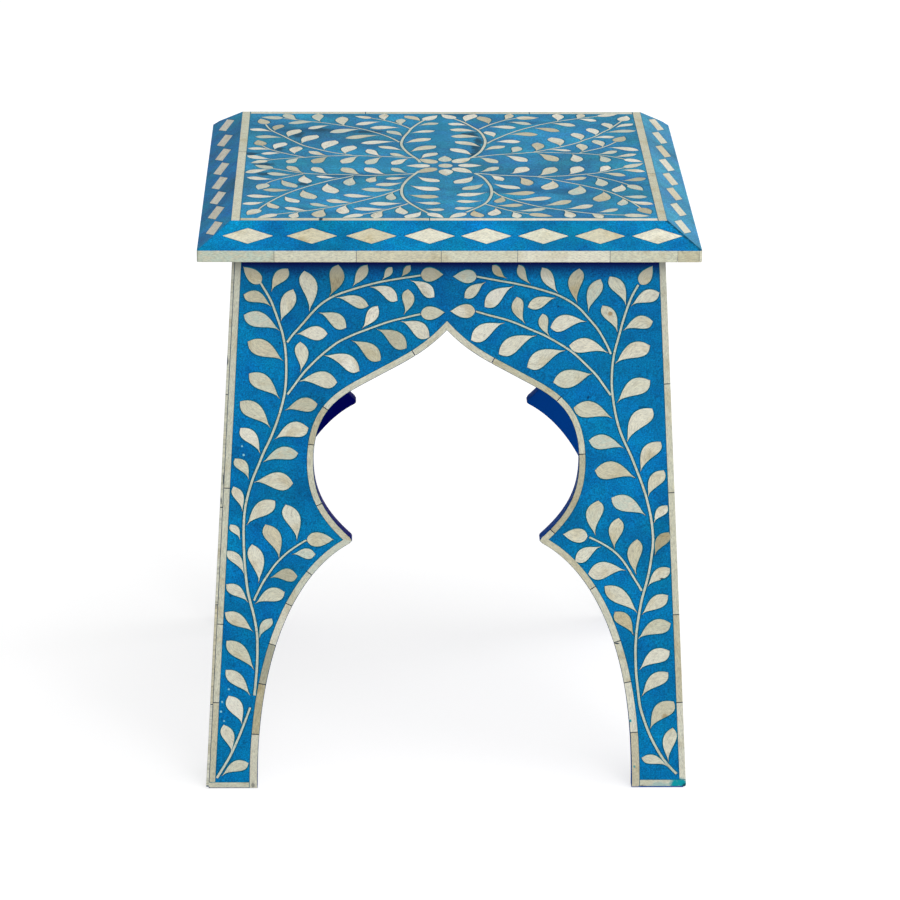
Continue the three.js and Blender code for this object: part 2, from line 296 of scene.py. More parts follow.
def make_piece(name, points, faces, paints, stands_for=(), paint_numbers=None, grain=None,
               tone=None, smooth_angle=0):
    """Makes a piece from corners in millimetres. Grain is each corner's place across and along its bone,
    and tone its own colouring, both for its material to read."""
    mesh = bpy.data.meshes.new(name)
    mesh.from_pydata((points * metre).tolist(), [], faces)
    for paint in paints:
        mesh.materials.append(paint)
    if paint_numbers is not None:
        mesh.polygons.foreach_set("material_index", paint_numbers)
    if grain is not None:
        corners = np.empty(len(mesh.loops), np.int32)
        mesh.loops.foreach_get("vertex_index", corners)
        layer = mesh.uv_layers.new(name="grain")
        layer.data.foreach_set("uv", grain[corners].astype(np.float32).ravel())
        own = mesh.attributes.new("tone", "FLOAT_COLOR", "POINT")
        own.data.foreach_set("color", tone.astype(np.float32).ravel())
    if smooth_angle:
        mesh.shade_smooth()
        mesh.set_sharp_from_angle(angle=math.radians(smooth_angle))
    mesh.update()
    piece = bpy.data.objects.new(name, mesh)
    bpy.context.scene.collection.objects.link(piece)
    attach(piece, "root")
    if stands_for:
        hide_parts(*stands_for)


def new_material(name):
    """An empty material and its node tree."""
    material = bpy.data.materials.new(name)
    material.use_nodes = True
    material.node_tree.nodes.clear()
    return material, material.node_tree


def noise(tree, place, scale, detail=3.0, roughness=0.5, stretch=(1, 1, 1)):
    """Soft noise from 0 to 1 about a place, finer along the axes that are stretched more."""
    scaled = vector_calc(tree, "MULTIPLY", place, stretch)
    inputs = {"Vector": scaled, "Scale": scale, "Detail": detail, "Roughness": roughness}
    return add_node(tree, "ShaderNodeTexNoise", inputs).outputs["Fac"]


front_mark_depth = 24
seat_mark_depth = 12
mark_raggedness = 1.8
mark_full_within = 0.4
mark_gone_beyond = 1.2


def front_mark(across, height, half_width, half_height, paint, share=1.0):
    """A mark on the front panel or band: its middle and half sizes in millimetres, and how much shows."""
    return (across, -outer_half(height), height), (half_width, front_mark_depth, half_height), paint, share


def seat_mark(across, along, half_width, half_depth, paint, share=1.0):
    """A mark on the seat, in the same way."""
    return (across, along, seat_top), (half_width, half_depth, seat_mark_depth), paint, share


def add_marks(tree, colour, marks):
    """Paints soft marks with ragged edges over a colour."""
    place = object_place(tree)
    ragged = calc(tree, "SUBTRACT", noise(tree, place, 240, 3, 0.6), 0.5)
    ragged = calc(tree, "MULTIPLY", ragged, mark_raggedness)
    for middle, half_sizes, paint, share in marks:
        away = vector_calc(tree, "SUBTRACT", place, Vector(middle) * metre)
        away = vector_calc(tree, "DIVIDE", away, Vector(half_sizes) * metre)
        away = vector_calc(tree, "LENGTH", away, output="Value")
        away = calc(tree, "ADD", away, ragged)
        near = calc(tree, "SUBTRACT", 1.0, ramp(tree, away, mark_full_within, mark_gone_beyond))
        colour = mix(tree, calc(tree, "MULTIPLY", near, share), colour, paint)
    return colour


# Heights of the painted shade below the seat's overhang: full at the top, gone 20 mm lower.
overhang = 430.6
shade_full_from = 422
shade_starts = 408.7


def painted_shade_under_band(tree, colour, deepest):
    """Painted shade: darkens a colour towards the deepest one over the last 20 mm below the seat's overhang,
    where the overhang's shadow falls."""
    height = add_node(tree, "ShaderNodeSeparateXYZ", {0: object_place(tree)}).outputs["Z"]
    inputs = {"Value": height, "From Min": shade_starts * metre, "From Max": shade_full_from * metre}
    close = add_node(tree, "ShaderNodeMapRange", inputs).outputs[0]
    below = calc(tree, "LESS_THAN", height, overhang * metre)
    return mix(tree, calc(tree, "MULTIPLY", close, below), colour, deepest)


def finish_surface(tree, colour, roughness, height, depth, **constants):
    """The shader with its output: colour, roughness and bump from the nodes, the rest as plain values."""
    bump = add_node(tree, "ShaderNodeBump", {"Height": height, "Distance": depth, "Strength": 1.0}).outputs[0]
    inputs = {"Base Color": colour, "Roughness": roughness, "Normal": bump}
    shader = add_node(tree, "ShaderNodeBsdfPrincipled", inputs)
    for key, value in constants.items():
        shader.inputs[key.replace("_", " ")].default_value = value
    add_node(tree, "ShaderNodeOutputMaterial", {"Surface": shader.outputs[0]})


# Navy of the painted shade at the stool's left, of the painted light at its right, and of the brush marks.
navy_painted_shaded = (0.0, 0.001, 0.145, 1)
navy_painted_lit = (0.0, 0.083, 0.46, 1)
navy_brushed = (0.0, 0.04, 0.22, 1)

navy_paint, tree = new_material("navy_paint")
place = object_place(tree)
brushed = noise(tree, place, 70, 4, 0.6, (1, 1, 0.12))
patchy = noise(tree, place, 9, 3)
# Painted light and shade: the navy runs from darker at the stool's left to lighter at its right, as light
# falls in through the arches.
across = add_node(tree, "ShaderNodeSeparateXYZ", {0: place}).outputs["X"]
painted_light_share = ramp(tree, times_plus(tree, patchy, 0.06, across), -0.02, 0.13)
colour = mix(tree, painted_light_share, navy_painted_shaded, navy_painted_lit)
colour = mix(tree, calc(tree, "MULTIPLY", ramp(tree, brushed, 0.55, 0.8), 0.3), colour, navy_brushed)
worn = ramp(tree, noise(tree, place, 260, 5, 0.65), 0.35, 0.8)
rough = times_plus(tree, worn, 0.18, 0.5)
finish_surface(tree, colour, rough, brushed, depth=0.00012, Specular_IOR_Level=0.02)


def board_outline(depth, inset):
    """Outline of a board at a depth behind the panel's face: arch, outer bottom and top corners. It runs
    anticlockwise as (across, height), and the inset draws it into the wood to round the arris."""
    line = arch_line + left_normals(arch_line) * inset
    line[0] = [0, apex_height + inset / math.cos(apex_angle)]
    line[-1, 1] = inset
    right = place_half(line, 1)
    left = place_half(line, -1)
    heights = np.array([inset, panel_high - inset])
    ends = outer_half(heights) - depth
    right_end = np.stack([ends, heights], axis=1)
    left_end = np.stack([-ends, heights], axis=1)
    return np.vstack([left[::-1], right[1:], right_end, left_end[::-1]])


round_steps = np.radians([0, 30, 60, 90])
board_rings = [(inlay_thickness * level_share, 0.0)] + [
    (board_back_depth - arris_radius + arris_radius * math.sin(angle), arris_radius * (1 - math.cos(angle)))
    for angle in round_steps
]


def ring_faces(ring_count, ring_size):
    """Quads between rings of equal size, each corner joined to the next ring's."""
    i = np.arange(ring_count - 1)[:, None] * ring_size
    j = np.arange(ring_size)
    k = (j + 1) % ring_size
    return np.stack([i + j, i + k, i + k + ring_size, i + j + ring_size], axis=2).reshape(-1, 4)


for turns, side in enumerate(sides):
    rings = []
    for depth, inset in board_rings:
        outline = board_outline(depth, inset)
        rings.append(np.c_[outline, np.full(len(outline), -depth)])
    size = len(rings[0])
    walls = ring_faces(len(rings), size)[:, ::-1].tolist()
    face_cap = list(range(size))
    back_cap = list(range((len(rings) - 1) * size, len(rings) * size))[::-1]
    make_piece(f"board_{side}", on_panel(np.vstack(rings), turns), walls + [face_cap, back_cap],
               [navy_paint], [f"panel_board_{side}"], smooth_angle=35)

# Bone: strips, leaves, stems and diamonds are sawn from cattle bone, let in flush, sanded and lacquered.
# Each piece has its own tone, from pale cream to tan, with fine fibres along it and small dark pores.
bone_cream = (0.615, 0.613, 0.488, 1)
bone_pale = (0.84, 0.815, 0.725, 1)
bone_tan = (0.46, 0.375, 0.195, 1)
bone_cool = (0.44, 0.54, 0.48, 1)
bone_pore = (0.17, 0.13, 0.07, 1)
# bone_shaded is the deepest colour of the painted shade below the seat's overhang.
bone_shaded = (0.36, 0.36, 0.29, 1)
strip_tint = (0.94, 0.95, 0.96, 1)
seat_strip_tint = (0.98, 0.985, 0.96, 1)
seed_depth = 97.0


def new_group(name, inputs):
    """A node group that turns its inputs into colour, roughness and height, and what comes in."""
    tree = bpy.data.node_groups.new(name, "ShaderNodeTree")
    outputs = {"Color": "Color", "Roughness": "Float", "Height": "Float"}
    for way, sockets in (("INPUT", inputs), ("OUTPUT", outputs)):
        for socket, kind in sockets.items():
            tree.interface.new_socket(socket, in_out=way, socket_type=f"NodeSocket{kind}")
    return tree, add_node(tree, "NodeGroupInput").outputs


def multiplied(tree, colour, red, green, blue):
    """A colour with each channel multiplied by a number or an output."""
    factors = add_node(tree, "ShaderNodeCombineColor", {0: red, 1: green, 2: blue}).outputs[0]
    return mix(tree, 1.0, colour, factors, "MULTIPLY")


bone_grain, given = new_group("bone grain", {"Place": "Vector", "Tone": "Color"})
tree = bone_grain
channels = add_node(tree, "ShaderNodeSeparateColor", {"Color": given["Tone"]}).outputs
fibres = noise(tree, given["Place"], 1.0, 4, 0.62, (1.8, 0.4, 1))
mottle = noise(tree, given["Place"], 1.0, 3, 0.6, (0.3, 0.16, 1))
blush = noise(tree, given["Place"], 1.0, 2, 0.5, (0.07, 0.05, 1.7))
pores = noise(tree, given["Place"], 1.0, 1, 0.4, (1.9, 0.6, 1))
tan_share = calc(tree, "MULTIPLY", channels["Red"], calc(tree, "ADD", mottle, 0.55), clamp=True)
stray_tan = calc(tree, "MULTIPLY", ramp(tree, blush, 0.5, 0.75), 0.42)
tan_share = calc(tree, "ADD", tan_share, stray_tan, clamp=True)
cool_share = calc(tree, "MULTIPLY", channels["Green"], ramp(tree, mottle, 0.3, 0.6))
fibre_share = calc(tree, "MULTIPLY", ramp(tree, fibres, 0.5, 0.72), 0.3)
colour = mix(tree, channels["Blue"], bone_cream, bone_pale)
colour = mix(tree, tan_share, colour, bone_tan)
colour = mix(tree, cool_share, colour, bone_cool)
colour = mix(tree, fibre_share, colour, bone_tan)
streak = calc(tree, "MULTIPLY", times_plus(tree, fibres, 1.6, 0.2), times_plus(tree, mottle, 0.5, 0.75))
colour = multiplied(tree, colour, streak, streak, streak)
shade = calc(tree, "MINIMUM", calc(tree, "ADD", channels["Blue"], 1.0), 1.0)
colour = multiplied(tree, colour, shade, shade, shade)
pitted = calc(tree, "MULTIPLY", ramp(tree, pores, 0.69, 0.77), 0.45)
colour = mix(tree, pitted, colour, bone_pore)
rough = times_plus(tree, fibres, 0.16, 0.44)
height = calc(tree, "SUBTRACT", calc(tree, "MULTIPLY", fibres, 0.5), pitted)
add_node(tree, "NodeGroupOutput", {"Color": colour, "Roughness": rough, "Height": height})


def bone_material(name, marks, tint=white):
    """Lacquered bone that reads its grain map and tone, with its marks."""
    material, tree = new_material(name)
    grain = add_node(tree, "ShaderNodeUVMap", uv_map="grain").outputs[0]
    tone = add_node(tree, "ShaderNodeAttribute", attribute_name="tone").outputs
    depth = calc(tree, "MULTIPLY", tone["Alpha"], seed_depth)
    spread = add_node(tree, "ShaderNodeCombineXYZ", {"Z": depth}).outputs[0]
    inputs = {"Place": vector_calc(tree, "ADD", grain, spread), "Tone": tone["Color"]}
    group = add_node(tree, "ShaderNodeGroup", inputs, node_tree=bone_grain).outputs
    colour = mix(tree, 1.0, group["Color"], tint, "MULTIPLY")
    # Painted shade: bone just below the seat's overhang is darkened as if by the overhang's shadow.
    colour = painted_shade_under_band(tree, add_marks(tree, colour, marks), bone_shaded)
    finish_surface(tree, colour, group["Roughness"], group["Height"], depth=0.00005,
                   Specular_IOR_Level=0.1)
    return material


ink = (0.0, 0.02, 0.05, 1)
brown_knot = (0.3, 0.2, 0.08, 1)
turquoise = (0.0, 0.3, 0.36, 1)
pale_turquoise = (0.27, 0.47, 0.47, 1)
leaf_marks = [
    front_mark(166.7, 172, 2.4, 0.9, ink), front_mark(122.9, 383.1, 2, 2, brown_knot, 0.8),
    front_mark(170.5, 59, 2.6, 2.6, brown_knot, 0.6),
]
strip_marks = [
    front_mark(168, 2.5, 10, 2.6, pale_turquoise, 0.7), front_mark(182, 4, 8.5, 5, turquoise),
    front_mark(187.5, 1, 3, 3, ink, 0.9), front_mark(153.5, 1, 4, 2, ink, 0.6),
    front_mark(-151.5, 3, 1.6, 3.4, ink, 0.6), front_mark(143.8, 56, 1, 1.7, turquoise),
    front_mark(147.5, 18, 1, 1.2, turquoise, 0.8), front_mark(132, 119.4, 2, 0.6, ink),
    front_mark(146, 86.7, 3, 0.7, ink, 0.8), front_mark(118, 162, 1, 1.4, ink, 0.8),
    front_mark(-168.5, 347, 0.6, 5, ink, 0.9), front_mark(-172.5, 253.5, 0.6, 6, ink, 0.8),
    front_mark(-174.3, 235, 0.6, 3.5, ink, 0.8), front_mark(-97, 456, 1.6, 1.6, ink),
]
bone = bone_material("bone", leaf_marks)
strip_bone = bone_material("strip_bone", strip_marks, strip_tint)
seat_strip_bone = bone_material("seat_strip_bone", strip_marks, seat_strip_tint)

# Seams: glue gone dark with polish shows in the joints between strips, and the edge of the bone that lies
# against the resin has soaked up some of its blue.
def seam_paint(name, darker, lighter):
    """The blotched colour of a seam."""
    material, tree = new_material(name)
    grime = noise(tree, object_place(tree), 400, 3, 0.6)
    colour = mix(tree, ramp(tree, grime, 0.4, 0.75), darker, lighter)
    rough = times_plus(tree, grime, 0.2, 0.5)
    finish_surface(tree, colour, rough, grime, depth=0.00004, Specular_IOR_Level=0.1)
    return material


glue_line = seam_paint("glue_line", (0.0, 0.04, 0.1, 1), (0.0, 0.075, 0.16, 1))
soaked_edge = seam_paint("soaked_edge", (0.0, 0.14, 0.2, 1), (0.0, 0.2, 0.27, 1))
bone_paints, strip_paints, seat_strip_paints = [
    [face, navy_paint, glue_line, soaked_edge] for face in (bone, strip_bone, seat_strip_bone)
]
bare, navy, glue, soaked = range(4)

# Bars: each piece of bone is a bar between two edge lines, flat on top with eased edges. Drawn widths are
# of the bone that shows, and its edges look dark, so leaves and stems are spread a little wider.
board_gap = 0.03
layer_thickness = inlay_thickness - board_gap
bar_edge = 0.4
leaf_edge = 0.68
leaf_spread = 0.54
stem_edge = 0.52
stem_spread = 0.42
widest_ease = 0.3
ease_slope = 0.6
deepest_ease = 0.25
bone_gap = 0.22


def inlay_bar(left, right, tone, edge=bar_edge, sink=0.0, walls=(soaked, soaked), caps=(glue, glue)):
    """One piece of bone between two edge lines. A six-cornered section, flat on top with eased edges, is
    carried along them and closed at both ends. Each wall and end cap is left bare, painted navy, dark
    with glue or soaked with resin. The eased edge is as its wall, but dark beside a navy one, and under
    a soaked edge the wall is dark."""
    across = right - left
    along = np.gradient((left + right) / 2, axis=0)
    if np.sum(across[:, 0] * along[:, 1] - across[:, 1] * along[:, 0]) < 0:
        left, right, across, walls = right, left, -across, walls[::-1]
    width = np.linalg.norm(across, axis=1, keepdims=True)
    ease = across / width * np.minimum(edge, widest_ease * width)
    plan = np.stack([left, left, left + ease, right - ease, right, right], axis=1)
    eased = min(ease_slope * edge, deepest_ease)
    levels = np.array([-layer_thickness, -eased, 0, 0, -eased, -layer_thickness]) - sink
    rows = len(left)
    points = np.dstack([plan, np.broadcast_to(levels, (rows, 6))]).reshape(-1, 3)
    travel = travelled((left + right) / 2)
    sideways = np.cumsum(np.linalg.norm(np.diff(plan, axis=1, prepend=plan[:, :1]), axis=2), axis=1)
    grain = np.dstack([sideways, np.broadcast_to(travel[:, None], (rows, 6))]).reshape(-1, 2)
    quads = ring_faces(rows, 6)
    faces = quads.tolist() + [list(range(6))[::-1], list(range(rows * 6 - 6, rows * 6))]
    numbers = np.zeros(len(faces), np.int32)
    # Six faces go round each row: left wall, its eased edge, top, right eased edge, right wall, bottom.
    part = np.arange(len(quads)) % 6
    for wall, eased_part, paint in ((0, 1, walls[0]), (4, 3, walls[1])):
        numbers[:len(quads)][part == wall] = glue if paint == soaked else paint
        numbers[:len(quads)][part == eased_part] = glue if paint == navy else paint
    numbers[len(quads):] = caps
    return {"points": points, "faces": faces, "grain": grain, "numbers": numbers,
            "tone": np.tile(tone, (len(points), 1))}


def bar_pocket(left, right):
    """Outline of the pocket that a piece of bone lies in, wider than the piece by a gap all round."""
    across = right - left
    across = across / np.linalg.norm(across, axis=1, keepdims=True)
    middle = (left + right) / 2
    first = (middle[0] - middle[1]) / np.linalg.norm(middle[0] - middle[1]) * bone_gap
    last = (middle[-1] - middle[-2]) / np.linalg.norm(middle[-1] - middle[-2]) * bone_gap
    left = left - across * bone_gap
    right = right + across * bone_gap
    left[0], right[0] = left[0] + first, right[0] + first
    left[-1], right[-1] = left[-1] + last, right[-1] + last
    outline = np.vstack([left, right[::-1]])
    x, y = outline.T
    area = np.sum(x * np.roll(y, -1) - y * np.roll(x, -1))
    return outline if area > 0 else outline[::-1]


def join_bars(name, bars, carry, turns, paints, stands_for=()):
    """Joins bars into one piece and carries it to its place on a side."""
    starts = np.cumsum([0] + [len(bar["points"]) for bar in bars])
    faces = [[corner + start for corner in face] for start, bar in zip(starts, bars) for face in bar["faces"]]
    together = {key: np.concatenate([bar[key] for bar in bars])
                for key in ("points", "grain", "numbers", "tone")}
    make_piece(name, carry(together["points"], turns), faces, paints, stands_for,
               together["numbers"], together["grain"], together["tone"])


# What each kind of bone adds to the tan share, the cool share and the paleness: 0 plain, 1 pale, 2 tan,
# 3 cool, 4 dull, 5 dark and 6 warm.
kind_tones = [(0, 0, 0), (0, 0, 0.5), (0.6, 0, -0.3), (0, 0.6, 0), (0.28, 0, -0.2), (0.35, 0.3, -0.75),
              (0.42, 0, 0)]
most_tan = 0.3
tan_rarity = 1.5
most_cool = 0.25
most_pale = 0.5


def bone_tone(chance, kind=0):
    """Tan share, cool share, paleness and seed of one piece, where paleness below 0 darkens."""
    more_tan, more_cool, more_pale = kind_tones[kind]
    tan = chance.uniform(0.0, most_tan) ** tan_rarity + more_tan
    cool = chance.uniform(0.0, most_cool) + more_cool
    pale = chance.uniform(0.0, most_pale) + more_pale
    return np.array([tan, cool, pale, chance.uniform()])


# Strips of the panels: straight strips up the outer edges, short ones across the feet, and curved ones
# sawn to the arch in lengths that butt at fine dark joints. Their cut edges in the arch are painted. The
# rows of a foot's strip lie closest near its outer corner, which is rounded.
stile_width = 5.2
arch_strip_width = 5.2
foot_strip_width = 6.5
foot_low = {1: 1.4, -1: 0.9}
foot_high = {1: 7.2, -1: 5.8}
foot_corner = 1.6
lap_depth = 2.05 * level_share
joint_half = 0.34
strip_gap = 0.1
strip_row = 3.0
foot_rows = np.r_[np.linspace(0, 0.95, 10), np.linspace(0.96, 1, 6)][:, None]


def offset_line(line, start_width, end_width):
    """Moves a line to its left, into the board, by a width that runs from one end to the other."""
    widths = np.linspace(start_width, end_width, len(line))[:, None]
    return line + left_normals(line) * widths


def meeting(first, second):
    """Where two lines of points cross: the index in each, and the point, by Cramer's rule on all pairs."""
    a, b = first[:-1, None], first[1:, None] - first[:-1, None]
    c, d = second[None, :-1], second[None, 1:] - second[None, :-1]
    turn = b[..., 0] * d[..., 1] - b[..., 1] * d[..., 0]
    turn = np.where(turn == 0, np.inf, turn)
    gap = c - a
    s = (gap[..., 0] * d[..., 1] - gap[..., 1] * d[..., 0]) / turn
    t = (gap[..., 0] * b[..., 1] - gap[..., 1] * b[..., 0]) / turn
    i, j = np.argwhere((s >= 0) & (s <= 1) & (t >= 0) & (t <= 1))[0]
    return i, j, first[i] + b[i, 0] * s[i, j]


def strip_back(extra):
    """The far edge of the arch's strip as its upper and lower part, which meet behind the cusp."""
    upper = offset_line(upper_arch, arch_strip_width + extra, arch_strip_width + extra)
    lower = offset_line(lower_arch, arch_strip_width + extra, foot_strip_width + extra)
    crown = [0, apex_height + (arch_strip_width + extra) / math.cos(apex_angle)]
    i, j, corner = meeting(upper, lower)
    return np.vstack([crown, upper[:i + 1], corner]), np.vstack([corner, lower[j + 1:]])


def resample(line, shares):
    """Points at shares of a line's length."""
    travel = travelled(line)
    at = np.asarray(shares) * travel[-1]
    return np.stack([np.interp(at, travel, line[:, k]) for k in (0, 1)], axis=1)


def shares_at(line, heights):
    """Where a falling line passes some heights, as shares of its length."""
    travel = travelled(line)
    return np.interp(-np.array(heights, float), -line[:, 1], travel) / travel[-1]


def nearest_share(line, point):
    """Where a line comes nearest to a point, as a share of its length."""
    shares = np.linspace(0, 1, 2001)
    return shares[np.argmin(np.linalg.norm(resample(line, shares) - point, axis=1))]


def cut_lengths(left, right, cuts, row=strip_row, gap=joint_half):
    """Cuts a strip square across between two edges at shares of the left one's length, and leaves a fine
    joint at each cut."""
    cuts = sorted(cuts)
    far_cuts = [nearest_share(right, resample(left, [cut])[0]) for cut in cuts]
    left_gap, right_gap = [gap / np.sum(step_lengths(line)) for line in (left, right)]
    starts = np.array([[0, 0]] + [[cut + left_gap, far + right_gap] for cut, far in zip(cuts, far_cuts)])
    ends = np.array([[cut - left_gap, far - right_gap] for cut, far in zip(cuts, far_cuts)] + [[1, 1]])
    for start, end in zip(starts, ends):
        rows = max(2, int((end[0] - start[0]) * gap / left_gap / row) + 1)
        shares = np.linspace(start, end, rows)
        yield resample(left, shares[:, 0]), resample(right, shares[:, 1])


def above(line, height):
    """The part of a falling line above a height, ended on it."""
    kept = line[line[:, 1] > height]
    if len(kept) == len(line):
        return kept
    after = line[len(kept)]
    share = (kept[-1, 1] - height) / (kept[-1, 1] - after[1])
    return np.vstack([kept, kept[-1] + (after - kept[-1]) * share])


upper_edge = np.vstack([upper_arch, nose[1:nose_middle + 1]])
lower_edge = np.vstack([nose[nose_middle:], lower_arch[1:]])
upper_back, lower_back = strip_back(0)

# Heights of the joints in each strip, and the kinds of its lengths from the top down, for the right (1) and
# the left (-1) of the front. On the other sides the joints lie near these heights.
upper_joints = {1: [344, 314, 272, 212], -1: [350, 307, 279.5, 233]}
lower_joints = {1: [163, 120, 87, 46], -1: [175, 150, 118, 86, 45]}
stile_joints = {1: [328, 241.5, 143, 71], -1: [245.3, 135.7, 71.5]}
upper_kinds = {1: [0, 4, 0, 4, 4], -1: [0, 0, 4, 0, 4]}
lower_kinds = {1: [4, 0, 0, 1, 6], -1: [3, 0, 1, 5, 2, 0]}
stile_kinds = {1: [0, 0, 0, 6, 1], -1: [0, 0, 0, 4]}
hidden_kinds = [0, 0, 0, 2, 3]
arch_tone = [1, 0.7, 0.7, 1]
stile_tone = [0.8, 1, 0.6, 1]
foot_tone = [0.6, 1, 0.6, 1]
joint_wander = 12
strip_seed = 40


def stile_line(distance, low, high, hand):
    """A line along the outer edge at a distance from the corner."""
    heights = np.linspace(low, high, 2)
    return np.stack([hand * (outer_half(heights) - distance), heights], axis=1)


def joint_shares(line, heights, chance, turns):
    """Joint places along a line: at the given heights on the front, and moved a little on the others."""
    moved = chance.uniform(-joint_wander, joint_wander, len(heights)) if turns else np.zeros(len(heights))
    return shares_at(line, heights + moved)


for turns, side in enumerate(sides):
    chance = np.random.default_rng(strip_seed + turns)
    for hand, hand_name in ((1, "right"), (-1, "left")):
        lap = lap_depth if hand < 0 else 0
        bars = []
        for edge, back, joints, kinds in (
                (upper_edge, upper_back, upper_joints[hand], upper_kinds[hand]),
                (above(lower_edge, foot_low[hand]), above(lower_back, foot_low[hand]), lower_joints[hand],
                 lower_kinds[hand])):
            near = place_half(edge, hand)
            far = place_half(back, hand)
            lengths = cut_lengths(near, far, joint_shares(near, joints, chance, turns))
            for (left, right), kind in zip(lengths, kinds):
                kind = chance.choice(hidden_kinds) if turns else kind
                bars.append(inlay_bar(left, right, bone_tone(chance, kind) * arch_tone, walls=(navy, soaked)))
        join_bars(f"arch_bone_{side}_{hand_name}", bars, on_panel, turns, strip_paints,
                  [f"arch_strip_{side}_{hand_name}"])

        outer = stile_line(lap, foot_high[hand] + strip_gap, panel_high, hand)[::-1]
        inner = stile_line(lap + stile_width, foot_high[hand] + strip_gap, panel_high, hand)[::-1]
        outer_wall = glue if hand < 0 else bare
        lengths = cut_lengths(outer, inner, joint_shares(outer, stile_joints[hand], chance, turns))
        bars = [inlay_bar(left, right, bone_tone(chance, kind) * stile_tone, walls=(outer_wall, soaked))
                for (left, right), kind in zip(lengths, stile_kinds[hand])]
        join_bars(f"stile_bone_{side}_{hand_name}", bars, on_panel, turns, strip_paints,
                  [f"stile_strip_{side}_{hand_name}"])

        foot_line = strip_back(strip_gap)[1]
        foot_back = place_half(above(foot_line, foot_low[hand]), hand)
        foot_top = place_half(above(foot_line, foot_high[hand]), hand)
        ends = stile_line(lap, foot_low[hand], foot_high[hand], hand)
        low_edge = foot_back[-1] + foot_rows * (ends[0] - foot_back[-1])
        high_edge = foot_top[-1] + foot_rows * (ends[1] - foot_top[-1])
        past = np.clip(foot_corner - np.abs(low_edge[:, 0] - ends[0, 0]), 0, foot_corner)
        low_edge[:, 1] += foot_corner - np.sqrt(foot_corner ** 2 - past ** 2)
        bars = [inlay_bar(low_edge, high_edge, bone_tone(chance) * foot_tone, walls=(glue, soaked),
                          caps=(glue, outer_wall))]
        join_bars(f"foot_bone_{side}_{hand_name}", bars, on_panel, turns, strip_paints,
                  [f"foot_strip_{side}_{hand_name}"])

